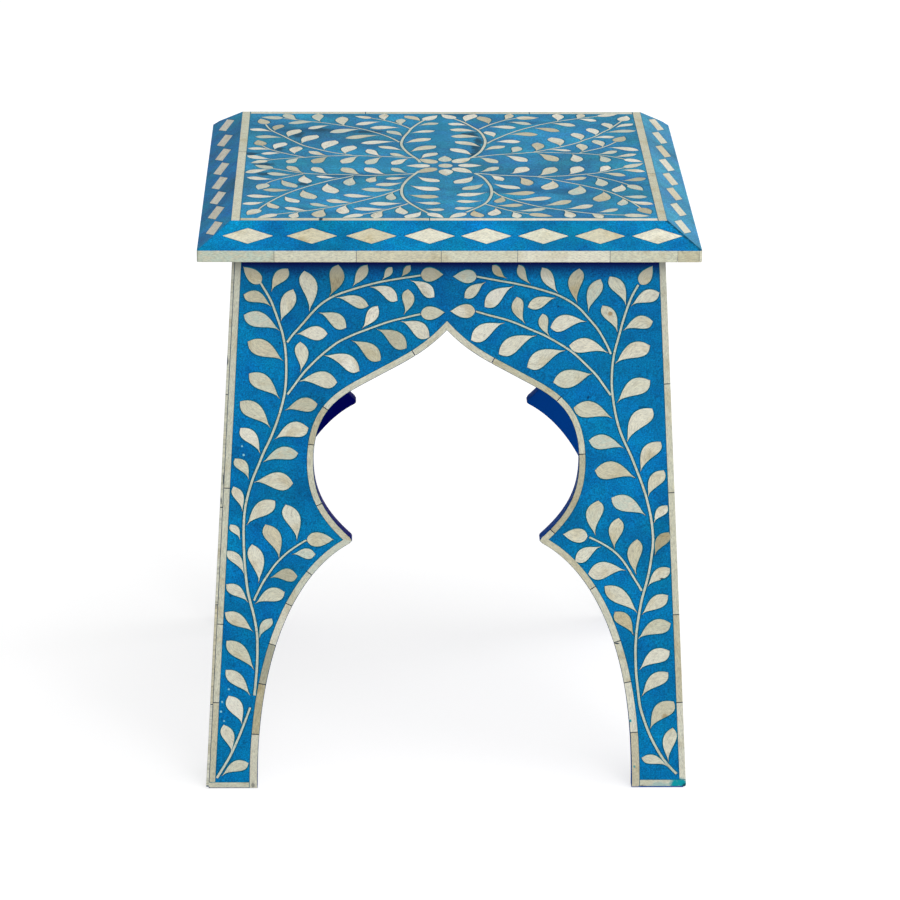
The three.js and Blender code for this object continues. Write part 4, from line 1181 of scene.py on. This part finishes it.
# Seat field: one flat square of resin with a rosette in its middle and four vines that grow out of it.
# Stems are drawn as on the panels. Leaves and buds are rows of base, tip and width.
field_half = 165.0
border_width = 7.0
rosette_middle = -6.0
seat_stems = [
    (2.4, [(22.5, -29), (26.8, -36.2), (30.3, -46.8), (32, -56.2), (33.8, -65.6), (34.4, -77.4),
          (34.4, -86.8), (33.2, -97.4), (31.5, -106.8), (27.9, -118.5), (22.6, -127.9), (17.9, -135),
          (13.2, -142)]),
    (1.9, [(35.6, -82), (38.5, -90.3), (42, -96.8), (46.8, -103.2), (53.8, -111.5), (60.9, -118.5),
          (67.9, -124.4), (75, -129.7), (85.6, -134.4), (95, -139.1), (104.4, -143.2), (115, -146.8),
          (124.4, -148.5), (133.2, -149.1)]),
    (1.9, [(28.5, -119), (35, -125.6), (40.9, -131.5), (46.8, -136.8), (52.6, -141.5), (60.9, -146.2)]),
    (1.9, [(22.5, -29), (29, -30), (38.5, -33.8), (50.3, -35.6), (60.9, -36.8), (71.5, -38.5), (80.9, -38),
          (92.6, -36.2), (103.2, -33.2), (112.6, -30.3), (120.9, -26.8), (127.9, -22), (135, -16.2),
          (140.9, -12)]),
    (1.9, [(71.5, -39), (77.4, -43.2), (84.4, -48), (92.6, -54.4), (103.2, -62), (110.3, -68),
          (118.5, -75.6), (124.4, -82), (130.3, -90.9), (135, -99.7), (139.7, -109.1), (143.8, -119.7),
          (146.8, -129.1)]),
    (1.7, [(110.9, -33), (118.5, -39.1), (126.8, -45.6), (133.8, -52.6), (139.7, -59.7), (142, -63.8)]),
    (2.4, [(-21.2, -22), (-23.5, -29.1), (-27.1, -38), (-30, -46.8), (-32.4, -56.2), (-34.5, -66.8),
          (-35.3, -77.4), (-35.3, -89.1), (-34.1, -99.7), (-32.4, -106.8), (-28.8, -117.4), (-24.1, -127.9),
          (-20, -136.2), (-15.9, -143.8)]),
    (1.9, [(-36.5, -76.2), (-40, -81.5), (-45.3, -87.9), (-51.2, -95), (-58.2, -102), (-65.3, -108.5),
          (-72.4, -115), (-80.6, -121.5), (-88.8, -127.4), (-97.1, -132), (-105.3, -136.8),
          (-114.7, -140.9), (-122.9, -144.4), (-130.6, -147.4)]),
    (1.9, [(-30.6, -117.4), (-35.9, -123.2), (-41.8, -129.7), (-47.6, -135), (-53.5, -139.7), (-60.6, -145),
          (-65.3, -147.4)]),
    (1.9, [(-24.5, -30), (-28.8, -30.9), (-37.1, -32.6), (-45.3, -33.8), (-54.7, -35), (-64.1, -35.6),
          (-73.5, -33.8), (-82.9, -32.6), (-92.4, -32.6), (-101.8, -31.5), (-110, -29.7), (-117.1, -26.9),
          (-122.9, -23.2), (-130, -18.5), (-136.5, -15)]),
    (1.9, [(-72.5, -36.5), (-79.4, -42), (-86.5, -46.8), (-92.4, -52), (-99.4, -59.1), (-106.5, -66.2),
          (-113.5, -74.4), (-119.4, -82), (-125.3, -90.9), (-131.2, -101.5), (-135.9, -111.5),
          (-140.6, -122), (-144.7, -133.8)]),
    (1.7, [(-112, -31), (-114.7, -32.6), (-120.6, -37.9), (-127.6, -43.8), (-133.5, -49.1), (-138.2, -55),
          (-140.6, -60)]),
    (2.4, [(20.3, 17.1), (23.2, 22.9), (26.8, 31.2), (29.7, 40.6), (31.7, 51.2), (33.2, 61.8), (33.6, 72.4),
          (32.9, 81.8), (31.7, 91.2), (29.7, 100.6), (28.5, 105.9), (25, 113.5), (21.5, 121.8),
          (18.5, 128.8), (14.4, 135.9), (10.3, 141.8)]),
    (1.9, [(35, 63), (40.3, 73.5), (45.6, 81.8), (51.5, 91.2), (58.5, 100.6), (65.6, 108.8), (72.6, 115.9),
          (79.7, 122.9), (87.9, 128.8), (96.2, 134.7), (105.6, 140), (115, 144.7), (122, 147.6),
          (128.5, 150.6)]),
    (1.9, [(29.5, 107.5), (35, 117.1), (40.3, 124.7), (45.6, 131.2), (50.3, 136.5), (56, 141), (61, 144)]),
    (1.9, [(22, 18.5), (30.3, 22.9), (39.7, 27.1), (49.1, 29.4), (58.5, 31.2), (67.9, 34.7), (75, 35.9),
          (84.4, 34.7), (93.8, 33.5), (103.2, 32.4), (112.6, 31.2), (122, 28.2), (130.3, 24.1),
          (138.5, 18.2), (143.2, 14.1)]),
    (1.9, [(71.5, 36.5), (75, 38.2), (82, 42.9), (89.1, 48.2), (96.2, 54.1), (103.2, 60.6), (109.1, 66.5),
          (115, 75.9), (120.9, 81.8), (125.6, 90), (130.3, 99.4), (135.6, 107.6), (139.7, 117.1),
          (143.8, 126.5), (147.9, 135.9)]),
    (1.7, [(108, 34), (110.9, 36.5), (117.4, 41.8), (124.4, 47.6), (130.3, 54.1), (135, 61.2),
          (139.1, 68.2)]),
    (2.4, [(-20, 4.1), (-21.5, 12.4), (-24.1, 19.4), (-28.2, 30), (-31.2, 40.6), (-33.5, 51.2),
          (-34.4, 61.8), (-33.5, 72.4), (-32.1, 81.8), (-30, 91.2), (-27.6, 100.6), (-25.9, 110),
          (-22.9, 118.2), (-20, 125.9), (-17.1, 132.4), (-15, 137)]),
    (1.9, [(-35.9, 66.5), (-39.4, 74.7), (-44.1, 82.9), (-48.8, 90), (-54.7, 97.1), (-60.6, 103.5),
          (-67.6, 110), (-75.9, 116.5), (-84.1, 121.2), (-92.4, 125.9), (-100.6, 130), (-108.8, 132.4),
          (-115.9, 135.9), (-124, 140), (-130.6, 142.9)]),
    (1.9, [(-26.5, 109.5), (-30, 115.9), (-34.7, 122.9), (-40.6, 130), (-45.3, 134.7), (-51.2, 139.4),
          (-58.2, 143.5)]),
    (1.9, [(-24.5, 18), (-33.5, 19.4), (-40.6, 20.6), (-47.6, 21.8), (-57.1, 22.9), (-66.5, 24.1),
          (-75.9, 25), (-84.1, 24.1), (-93.5, 22.9), (-102.9, 21.2), (-112.4, 18.8), (-119.4, 17.3),
          (-128.8, 15), (-135.9, 12.5), (-140.8, 9.8)]),
    (1.9, [(-74, 26), (-79.4, 28.8), (-87.6, 32.9), (-94.7, 38.2), (-101.8, 44.7), (-108.8, 51.2),
          (-114.7, 58.2), (-119.4, 66.5), (-124.7, 75.9), (-128.8, 84.1), (-133.5, 92.4), (-138.2, 100.6),
          (-141.8, 110), (-144.7, 123)]),
    (1.7, [(-112, 19.5), (-115.9, 22.4), (-122.9, 27.6), (-130, 33.5), (-137.1, 40.6), (-141.8, 47.1),
          (-146.2, 55.5)]),
]
seat_buds = [
    (12.6, -143.5, 0, -158, 9), (133, -149.3, 153, -152, 10), (61, -146.5, 79, -153, 10),
    (141, -11.5, 157.5, 2, 9), (146.8, -129, 153.5, -147, 10.5), (142, -62.5, 152, -79.5, 10),
    (-15.5, -144, -4, -157.5, 9), (-130.6, -147.2, -145.5, -159, 9), (-65.3, -147.5, -81, -157.5, 9),
    (-136.5, -15, -151, -4, 9.5), (-144.8, -133.5, -153, -150, 10.5), (-140.8, -60, -146.5, -77.5, 10.5),
    (10.3, 142, -0.5, 157, 10), (128.5, 151, 146, 158, 9), (61, 144.5, 80, 145.5, 11),
    (143, 14, 157, 6, 9.5), (147.7, 135.3, 153, 152.5, 10.5), (139.3, 68.6, 147, 86, 10.5),
    (-15, 137, -3.5, 153.5, 10), (-131, 143.5, -149.5, 147, 10.5), (-58.3, 143.8, -72, 150.5, 8),
    (-141, 9.5, -154.5, 1, 8.5), (-144.6, 124, -149.5, 142, 10), (-146.3, 55.8, -150, 73, 10),
]
seat_leaves = [
    (21.5, -37, 6.3, -59, 11.5), (29.5, -59, 12, -77.5, 10.5), (31, -85, 7, -93.5, 10.5),
    (27, -109, 6.3, -111, 8.5), (21, -127, 4.5, -131.5, 8.5), (25.5, -25, 42, -9.5, 9.5),
    (50, -31, 64, -9.5, 12.5), (72, -37, 86, -10, 12), (96, -33, 106, -7.5, 12),
    (119.5, -26, 128.5, -5.5, 9), (137, -19, 157, -23, 9), (122, -28, 141, -36, 9),
    (33.5, -33, 44, -51, 8.5), (35.5, -59, 57, -74, 10), (57, -39, 64, -65, 10.5),
    (83, -49, 76.5, -77.5, 13), (103.5, -63, 97, -92.5, 13.5), (121, -81, 115.5, -111.5, 13.5),
    (90, -48, 110, -41, 9), (117.5, -41, 121, -67, 10.5), (136, -50, 156.5, -43, 10),
    (136.5, -60, 130, -84, 10.5), (134, -94.5, 154, -98, 9.5), (134.5, -101, 132.5, -122.5, 8.5),
    (139, -108, 157, -119, 9.5), (41, -88.5, 68, -85, 11.5), (42, -95.5, 37.5, -115.5, 8.5),
    (52, -106, 80, -100, 11), (36, -122, 57.5, -121, 9.5), (72, -123, 95, -108, 10.5),
    (89, -132, 111, -121, 10), (51, -138, 74.5, -131, 8.5), (112, -142, 129.5, -131.5, 8),
    (87.5, -135.5, 93, -157, 9.5), (107, -143.5, 116, -158, 8.5), (48, -139, 52, -158, 8),
    (36, -129, 32.5, -151.5, 10), (19.5, -135, 24, -156, 10), (-22.5, -39, -5.5, -54, 10.5),
    (-29, -65, -5.5, -78, 12), (-31, -91.5, -6.7, -99, 11), (-26, -112.5, -5.5, -117, 8.5),
    (-19, -131.5, -3, -135, 8), (-20.6, -139, -33, -158, 10), (-29.5, -29, -42.5, -12.5, 8.5),
    (-46.5, -33, -63.5, -12, 11), (-65.5, -34, -81.5, -12, 11.5), (-92.5, -31.5, -104.5, -10.5, 10),
    (-111.5, -28, -124.5, -7, 9), (-137, -18, -157.5, -27.5, 10), (-119, -33.5, -140.6, -29, 9.5),
    (-134, -46.5, -156, -41.5, 9.5), (-111, -34, -108.5, -59, 10.5), (-129, -47, -117, -71.5, 10),
    (-119, -77.5, -143, -78, 9.5), (-130, -96.5, -155, -95, 9.5), (-140, -112, -157.5, -119, 8.5),
    (-93, -58, -87, -88.5, 12.5), (-111.8, -77, -103, -105, 12), (-125.5, -96, -114.7, -115, 9.5),
    (-137.6, -112, -130.6, -132, 8.5), (-72.4, -39, -76, -66, 10), (-54, -38, -60, -56, 9),
    (-30.6, -39.5, -47.5, -46, 7.5), (-33.7, -56, -55.5, -64, 10.5), (-38, -77, -66.5, -76, 11.5),
    (-56, -96, -80.5, -93, 10), (-73, -114, -93.5, -107, 10.5), (-88, -126, -106, -117, 8),
    (-105, -138, -125, -128.5, 8), (-84, -42.5, -102, -38, 7), (-113.5, -141, -118.5, -158.5, 8.5),
    (-94, -132, -99.5, -156.5, 11.5), (-77.5, -120.5, -80.5, -147, 10.5), (-41.5, -84, -43.5, -108, 8.5),
    (-34, -115.5, -60.5, -117.5, 10.5), (-46, -132.5, -72.5, -131.5, 9.5), (-49, -137, -56.5, -158.5, 9.5),
    (-36.5, -124, -34, -148, 9.5), (21.8, 26, 5, 47, 10.5), (29.5, 52, 9, 69, 10.5), (31, 82, 6, 85.5, 11),
    (28, 100.5, 5.5, 107, 10), (21, 119.5, 4.5, 126, 9), (19, 131, 27, 157.5, 11), (38, 124, 31, 150, 11),
    (50.5, 138, 57, 158.5, 8), (53, 132, 73, 123.5, 9), (37, 115, 60, 113, 10.5), (41, 82, 35, 101.5, 9),
    (53, 91, 77, 91, 12), (41, 67, 62, 68.5, 11), (32, 41, 49, 55, 9.5), (53, 33, 59.5, 53, 9.5),
    (73, 38, 75.5, 65.5, 10.5), (93.5, 53.5, 87.5, 82, 12.5), (111, 72, 106.5, 96.5, 10.5),
    (124, 88.5, 119.5, 112, 10), (136, 109, 133, 129.5, 9), (127.5, 51, 122, 74.5, 9.5),
    (110, 37, 110, 62, 9.5), (82, 43.5, 102, 40, 6.5), (47, 26, 65, 6.5, 11.5), (73.5, 33, 89, 7.5, 12),
    (101.5, 31, 105, 5.5, 10.5), (123, 26, 128.5, 5, 9.5), (134, 22, 153.5, 30.5, 8),
    (122, 30, 138.5, 40, 8.5), (131, 51, 156, 41.5, 10.5), (121, 80.5, 139, 84, 8.5),
    (131, 97, 157.5, 104, 9.5), (141, 113, 156.5, 126.5, 8), (88, 127.5, 109, 119, 10),
    (72.5, 113, 95, 101, 11), (94.5, 134.5, 95, 158.5, 10), (110, 142, 116, 158.5, 8),
    (111, 141.5, 127, 135, 8.5), (26, 20, 41.5, 2, 10), (-19, 16, -6, 33.5, 9.5), (-27.5, 36, -6.5, 55, 12),
    (-31.5, 63, -10, 78.5, 10.5), (-27, 95, -6.5, 103, 8), (-20, 119, -3, 128, 8.5),
    (-17.5, 133, -30.5, 152, 9.5), (-33, 121, -33.5, 142, 8.5), (-46.5, 135.5, -47.5, 158.5, 8.5),
    (-49, 132.5, -71, 122, 9.5), (-34, 112, -59.5, 112, 11.5), (-33, 85, -45.5, 103, 9),
    (-50.5, 88.5, -79.5, 78.5, 11), (-38, 67.5, -67, 63, 11), (-33, 40, -53, 54, 8.5),
    (-28.5, 20.5, -43.5, 32, 8), (-27.5, 17, -42, -3, 10), (-49.5, 20.5, -62, -2.5, 10.5),
    (-67.5, 24, -81.5, 0.5, 11), (-92, 22, -104.5, 1, 11), (-115, 18, -124.5, 1, 9),
    (-137, 14, -157.5, 24, 10), (-129, 31.5, -146.5, 30, 8), (-138, 42, -157.5, 47, 8.5),
    (-136, 43, -128, 65, 10.5), (-119.5, 29, -117, 52.5, 10.5), (-92, 23.5, -108.5, 38.5, 8.5),
    (-79.5, 29.5, -73, 55.5, 12), (-50.5, 22.5, -61.5, 44.5, 9), (-96.5, 42, -87.5, 72, 12.5),
    (-114.7, 62, -102.5, 89, 12), (-126, 82, -117, 107, 11), (-129.5, 80, -152.5, 83.5, 10),
    (-139, 99.5, -157.5, 108, 9), (-137, 101.5, -131.5, 122.5, 9), (-91, 120.5, -110, 108.5, 8.5),
    (-66, 108, -92, 97, 12), (-102, 132, -126.5, 126.5, 9.5), (-80, 118, -82, 148.5, 11),
    (-100, 130.5, -102, 158.5, 10), (-118, 136.5, -129.5, 158, 10),
]
rosette_petals = [
    (0, 6, 0, 24, 11), (0, -17, 0, -36.5, 11.5), (10, -5.3, 29, -5.5, 10.5), (-12, -6.5, -31.5, -6.5, 10.5),
    (6.5, 3, 20.8, 18.5, 11.5), (-7, 2, -20.5, 15, 11.5), (6, -13, 21, -28, 11.5),
    (-7.5, -13, -23, -28, 11.5),
]
bead_radius = 6.0
bead_rows = 17
leaf_lean = 0.6
seat_kinds = [0, 1, 1, 1, 3, 4]
seat_blue = (0.018, 0.228, 0.42, 1)
seat_seed = 21


def lean_with(rows, stems):
    """Splits the width of each leaf about the way to its tip, fuller on the side its stem grows to."""
    lines = [flowing_line(points) for _, points in stems]
    spots = np.vstack(lines)
    growth = np.vstack([np.gradient(line, axis=0) for line in lines])
    leaning = []
    for x, y, tip_x, tip_y, width in rows:
        grows = growth[np.argmin(np.sum((spots - [x, y]) ** 2, axis=1))]
        left = leaf_lean if (tip_x - x) * grows[1] - (tip_y - y) * grows[0] > 0 else 1 - leaf_lean
        leaning.append((x, y, tip_x, tip_y, width * left, width * (1 - left)))
    return leaning


def on_seat(points, turns=0):
    """Carries (across, along, up) onto the top of the seat, turned a number of quarters."""
    return turned(points, turns) + [0, 0, seat_top]


chance = np.random.default_rng(seat_seed)
leaves, buds = [[(*row, chance.choice(seat_kinds)) for row in rows]
                for rows in (lean_with(seat_leaves, seat_stems), seat_buds + rosette_petals)]
stem_bars, leaf_bars, pockets = draw_vine(seat_stems, leaves, buds, chance, 0.0)
around = np.linspace(-math.pi / 2, math.pi / 2, bead_rows)
bead_right = np.stack([bead_radius * np.cos(around), rosette_middle + bead_radius * np.sin(around)], axis=1)
bead_right[:, 0] = np.maximum(bead_right[:, 0], point_half)
bead_left = bead_right * [-1, 1]
pockets.append(bar_pocket(bead_left, bead_right))
leaf_bars.append(inlay_bar(bead_left, bead_right, bone_tone(chance)))
join_bars("seat_stems", stem_bars, on_seat, 0, bone_paints)
join_bars("seat_leaves", leaf_bars, on_seat, 0, bone_paints)

seat_marks = [seat_mark(*row, teal_ink) for row in (
    (-100, 105, 11, 7), (-62, 100, 14, 5), (-118, 90, 6, 12), (-133, 46, 5, 8), (-144, -3, 10, 5),
    (-137, -31, 14, 6), (-111, -60, 6, 8), (26, 48, 5, 22), (23, 27, 5, 8), (21, 90, 9, 10), (28, 70, 4, 12),
    (-154, 30, 7, 5))]
seat_marks += [seat_mark(-60, 4, 62, 17, stain_teal, 0.45), seat_mark(-5, 95, 12, 60, stain_teal, 0.4)]
seat_resin = resin_material("seat_resin", seat_blue, stain=0.7, clouds=1.3, marks=seat_marks)
inner = field_half - border_width - resin_gap
seat_square = np.array([(-inner, -inner), (inner, -inner), (inner, inner), (-inner, inner)])
points, faces = poured_sheet(seat_square, pockets)
make_piece("seat_resin", on_seat(points), faces, [seat_resin], ["seat_field"])

# Seat border: four straight bone strips round the field in a few lengths each. The two at the sides run
# from front to back, and the other two butt between them.
border_cuts = {"front": [0.19, 0.453], "right": [0.415], "back": [0.27, 0.7], "left": [0.39]}
border_kinds = {"front": [0, 0, 1], "right": [4, 4], "back": [0, 0, 0], "left": [0, 0]}
border_tone = [0.8, 1, 1, 1]
border_seed = 60

for turns, side in enumerate(sides):
    chance = np.random.default_rng(border_seed + turns)
    reach = field_half if side in ("right", "left") else field_half - border_width - joint_half
    across = np.array([-reach, reach])
    outer = np.stack([across, [-field_half] * 2], axis=1)
    inner_edge = np.stack([across, [border_width - field_half] * 2], axis=1)
    lengths = cut_lengths(outer, inner_edge, border_cuts[side])
    bars = [inlay_bar(left, right, bone_tone(chance, kind) * border_tone)
            for (left, right), kind in zip(lengths, border_kinds[side])]
    join_bars(f"seat_border_{side}", bars, on_seat, turns, seat_strip_paints, [f"field_border_{side}"])

# Sloped margins: a band of resin on each sloping edge of the seat, mitred at the corners, with a row of
# eight bone diamonds let into it. Polish has gathered dark along the mitre at the front right corner.
margin_width = 25.0
margin_rise = 16.5
band_top = 439.5
margin_slope = math.hypot(margin_width, margin_rise)
mitre_gap = 0.35
front_corner = 1.8
back_corner = 5.5
corner_steps = np.arange(0, 6.4, 0.8)
margin_blue = (0.0, 0.175, 0.385, 1)
# The lighter blue of the right margin is painted sheen, standing in for a soft reflection of the light on the
# stool's right.
margin_blue_painted_sheen = (0.045, 0.26, 0.44, 1)
margin_seed = 80

diamond_half_length = 18.8
diamond_half_width = 8.1
diamond_drop = 0.3
diamond_wander = 0.5
diamond_kinds = {"front": [1, 4, 4, 1, 1, 0, 4, 1], "right": [0, 0, 4, 0, 0, 4, 0, 1],
                 "back": [0, 4, 0, 1, 0, 0, 4, 0], "left": [1] * 8}
diamond_places = [-151.9, -103.7, -58.9, -15.1, 27.7, 70.6, 113.4, 156.6]

mitre_mark_count = 15
mitre_mark_half = (2, 2, 2)
mitre_marks = [
    ((field_half + share * margin_width, -field_half - share * margin_width, seat_top - share * margin_rise),
     mitre_mark_half, teal_ink, 0.9)
    for share in np.linspace(0, 1, mitre_mark_count)
]
margin_resin = resin_material("margin_resin", margin_blue, stain=0.35, clouds=1.6, marks=mitre_marks)
# Painted sheen: the right margin's resin is lighter and paler than the others.
margin_resin_painted_sheen = resin_material("margin_resin_painted_sheen", margin_blue_painted_sheen, stain=0.45, clouds=1.2, marks=mitre_marks)


def round_corners(points):
    """Rounds the upright corners of the seat: near a corner, each square ring about the corner's centre
    is drawn in to an arc."""
    x, y, z = points.T
    start = seat_half - np.where(y > 0, back_corner, front_corner)
    u = np.maximum(np.abs(x) - start, 0)
    v = np.maximum(np.abs(y) - start, 0)
    cut = 1 - np.maximum(u, v) / np.maximum(np.hypot(u, v), 0.001)
    return np.stack([np.sign(x) * (np.abs(x) - u * cut), np.sign(y) * (np.abs(y) - v * cut), z], axis=1)


def on_margin(points, turns):
    """Carries (along, up the slope, outward) onto a margin's sloping face."""
    rise = margin_rise / margin_slope
    run = margin_width / margin_slope
    y = -seat_half + points[:, 1] * run - points[:, 2] * rise
    z = band_top + points[:, 1] * rise + points[:, 2] * run
    return round_corners(turned(np.stack([points[:, 0], y, z], axis=1), turns))


low_half = seat_half - mitre_gap
high_half = field_half - mitre_gap
low_edge = np.stack([low_half - corner_steps[::-1], np.full(len(corner_steps), resin_gap)], axis=1)
mitre_shares = corner_steps[1:, None] / (seat_half - field_half)
mitre = low_edge[-1] + mitre_shares * ([high_half, margin_slope] - low_edge[-1])
right_edge = np.vstack([low_edge, mitre, [high_half, margin_slope]])
margin_outline = np.vstack([right_edge, (right_edge * [-1, 1])[::-1]])
diamond_line = np.array([-diamond_half_length, 0, diamond_half_length])
diamond_widths = np.array([[0, point_half], [0, diamond_half_width], [0, point_half]])

for turns, side in enumerate(sides):
    chance = np.random.default_rng(margin_seed + turns)
    diamond_tone = [1, 0.5, 1 if turns else 0.4, 1]
    bars, pockets = [], []
    for along, kind in zip(diamond_places, diamond_kinds[side]):
        middle = along + (chance.normal(0, diamond_wander) if turns else 0)
        line = np.stack([middle + diamond_line, np.full(3, margin_slope / 2 - diamond_drop)], axis=1)
        upper, lower = line + diamond_widths, line - diamond_widths
        pockets.append(bar_pocket(upper, lower))
        bars.append(inlay_bar(upper, lower, bone_tone(chance, kind) * diamond_tone))
    join_bars(f"diamonds_{side}", bars, on_margin, turns, bone_paints)
    points, faces = poured_sheet(margin_outline, pockets)
    # The right margin takes the resin with the painted sheen.
    resin = margin_resin_painted_sheen if side == "right" else margin_resin
    make_piece(f"margin_{side}", on_margin(points, turns), faces, [resin],
               [f"seat_margin_{side}"])

# Edge bands: upright bone strips glued round the edge of the seat in lengths with fine joints. Each runs
# to the corner at its left end, and butts on the next one's end at its right.
band_low = panel_top
band_joint_half = 0.17
band_row = 0.8
band_edge = 0.5
band_cuts = {"front": [0.1535, 0.317, 0.486, 0.638, 0.822, 0.957], "right": [0.2, 0.42, 0.61, 0.83],
             "back": [0.18, 0.37, 0.56, 0.79], "left": [0.22, 0.4, 0.63, 0.8]}
band_kinds = {"front": [3, 0, 4, 0, 1, 0, 2], "right": [0, 4, 0, 0, 2], "back": [0, 4, 0, 0, 2],
              "left": [0, 4, 0, 0, 2]}
band_tone = [0.6, 1, 0.8, 1]
band_seed = 100


def on_band(points, turns):
    """Carries (along, height, outward) onto the upright edge of the seat."""
    flat = np.stack([points[:, 0], -seat_half - points[:, 2], points[:, 1]], axis=1)
    return round_corners(turned(flat, turns))


for turns, side in enumerate(sides):
    chance = np.random.default_rng(band_seed + turns)
    ends = np.array([-seat_half, seat_half - inlay_thickness - band_joint_half])
    low = np.stack([ends, [band_low] * 2], axis=1)
    high = np.stack([ends, [band_top] * 2], axis=1)
    lengths = cut_lengths(high, low, band_cuts[side], band_row, band_joint_half)
    bars = [inlay_bar(high_edge, low_edge, bone_tone(chance, kind) * band_tone, edge=band_edge,
                      walls=(bare, bare), caps=(bare, bare))
            for (high_edge, low_edge), kind in zip(lengths, band_kinds[side])]
    join_bars(f"band_{side}", bars, on_band, turns, [seat_strip_bone], [f"edge_band_{side}"])

# Inside: the top board is painted navy below, and the cleats and corner blocks are bare sawn timber,
# glued in the corners and held up to the seat by zinc plated screws.
timber_pale = (0.46, 0.30, 0.15, 1)
timber_dark = (0.30, 0.17, 0.075, 1)
timber_fibre = (0.19, 0.1, 0.045, 1)
zinc_dull = (0.48, 0.49, 0.5, 1)
zinc_bright = (0.66, 0.67, 0.68, 1)

bare_timber, tree = new_material("bare_timber")
place = object_place(tree)
rings = noise(tree, place, 26, 3, 0.5, (1, 1, 5))
fibre = noise(tree, place, 330, 4, 0.6, (0.12, 0.12, 1))
colour = mix(tree, ramp(tree, rings, 0.3, 0.7), timber_pale, timber_dark)
colour = mix(tree, calc(tree, "MULTIPLY", ramp(tree, fibre, 0.5, 0.75), 0.4), colour, timber_fibre)
rough = times_plus(tree, fibre, 0.2, 0.62)
finish_surface(tree, colour, rough, fibre, depth=0.0002, Specular_IOR_Level=0.3)

zinc, tree = new_material("zinc")
spangle = noise(tree, object_place(tree), 900, 3, 0.6)
colour = mix(tree, spangle, zinc_dull, zinc_bright)
rough = times_plus(tree, spangle, 0.2, 0.28)
finish_surface(tree, colour, rough, spangle, depth=0.00003, Metallic=1.0)

inside_paints = {"top_board": navy_paint, "cleat": bare_timber, "corner_block": bare_timber,
                 "seat_screw": zinc}
for name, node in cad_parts.items():
    for start, paint in inside_paints.items():
        if name.startswith(start):
            node.data.materials.clear()
            node.data.materials.append(paint)
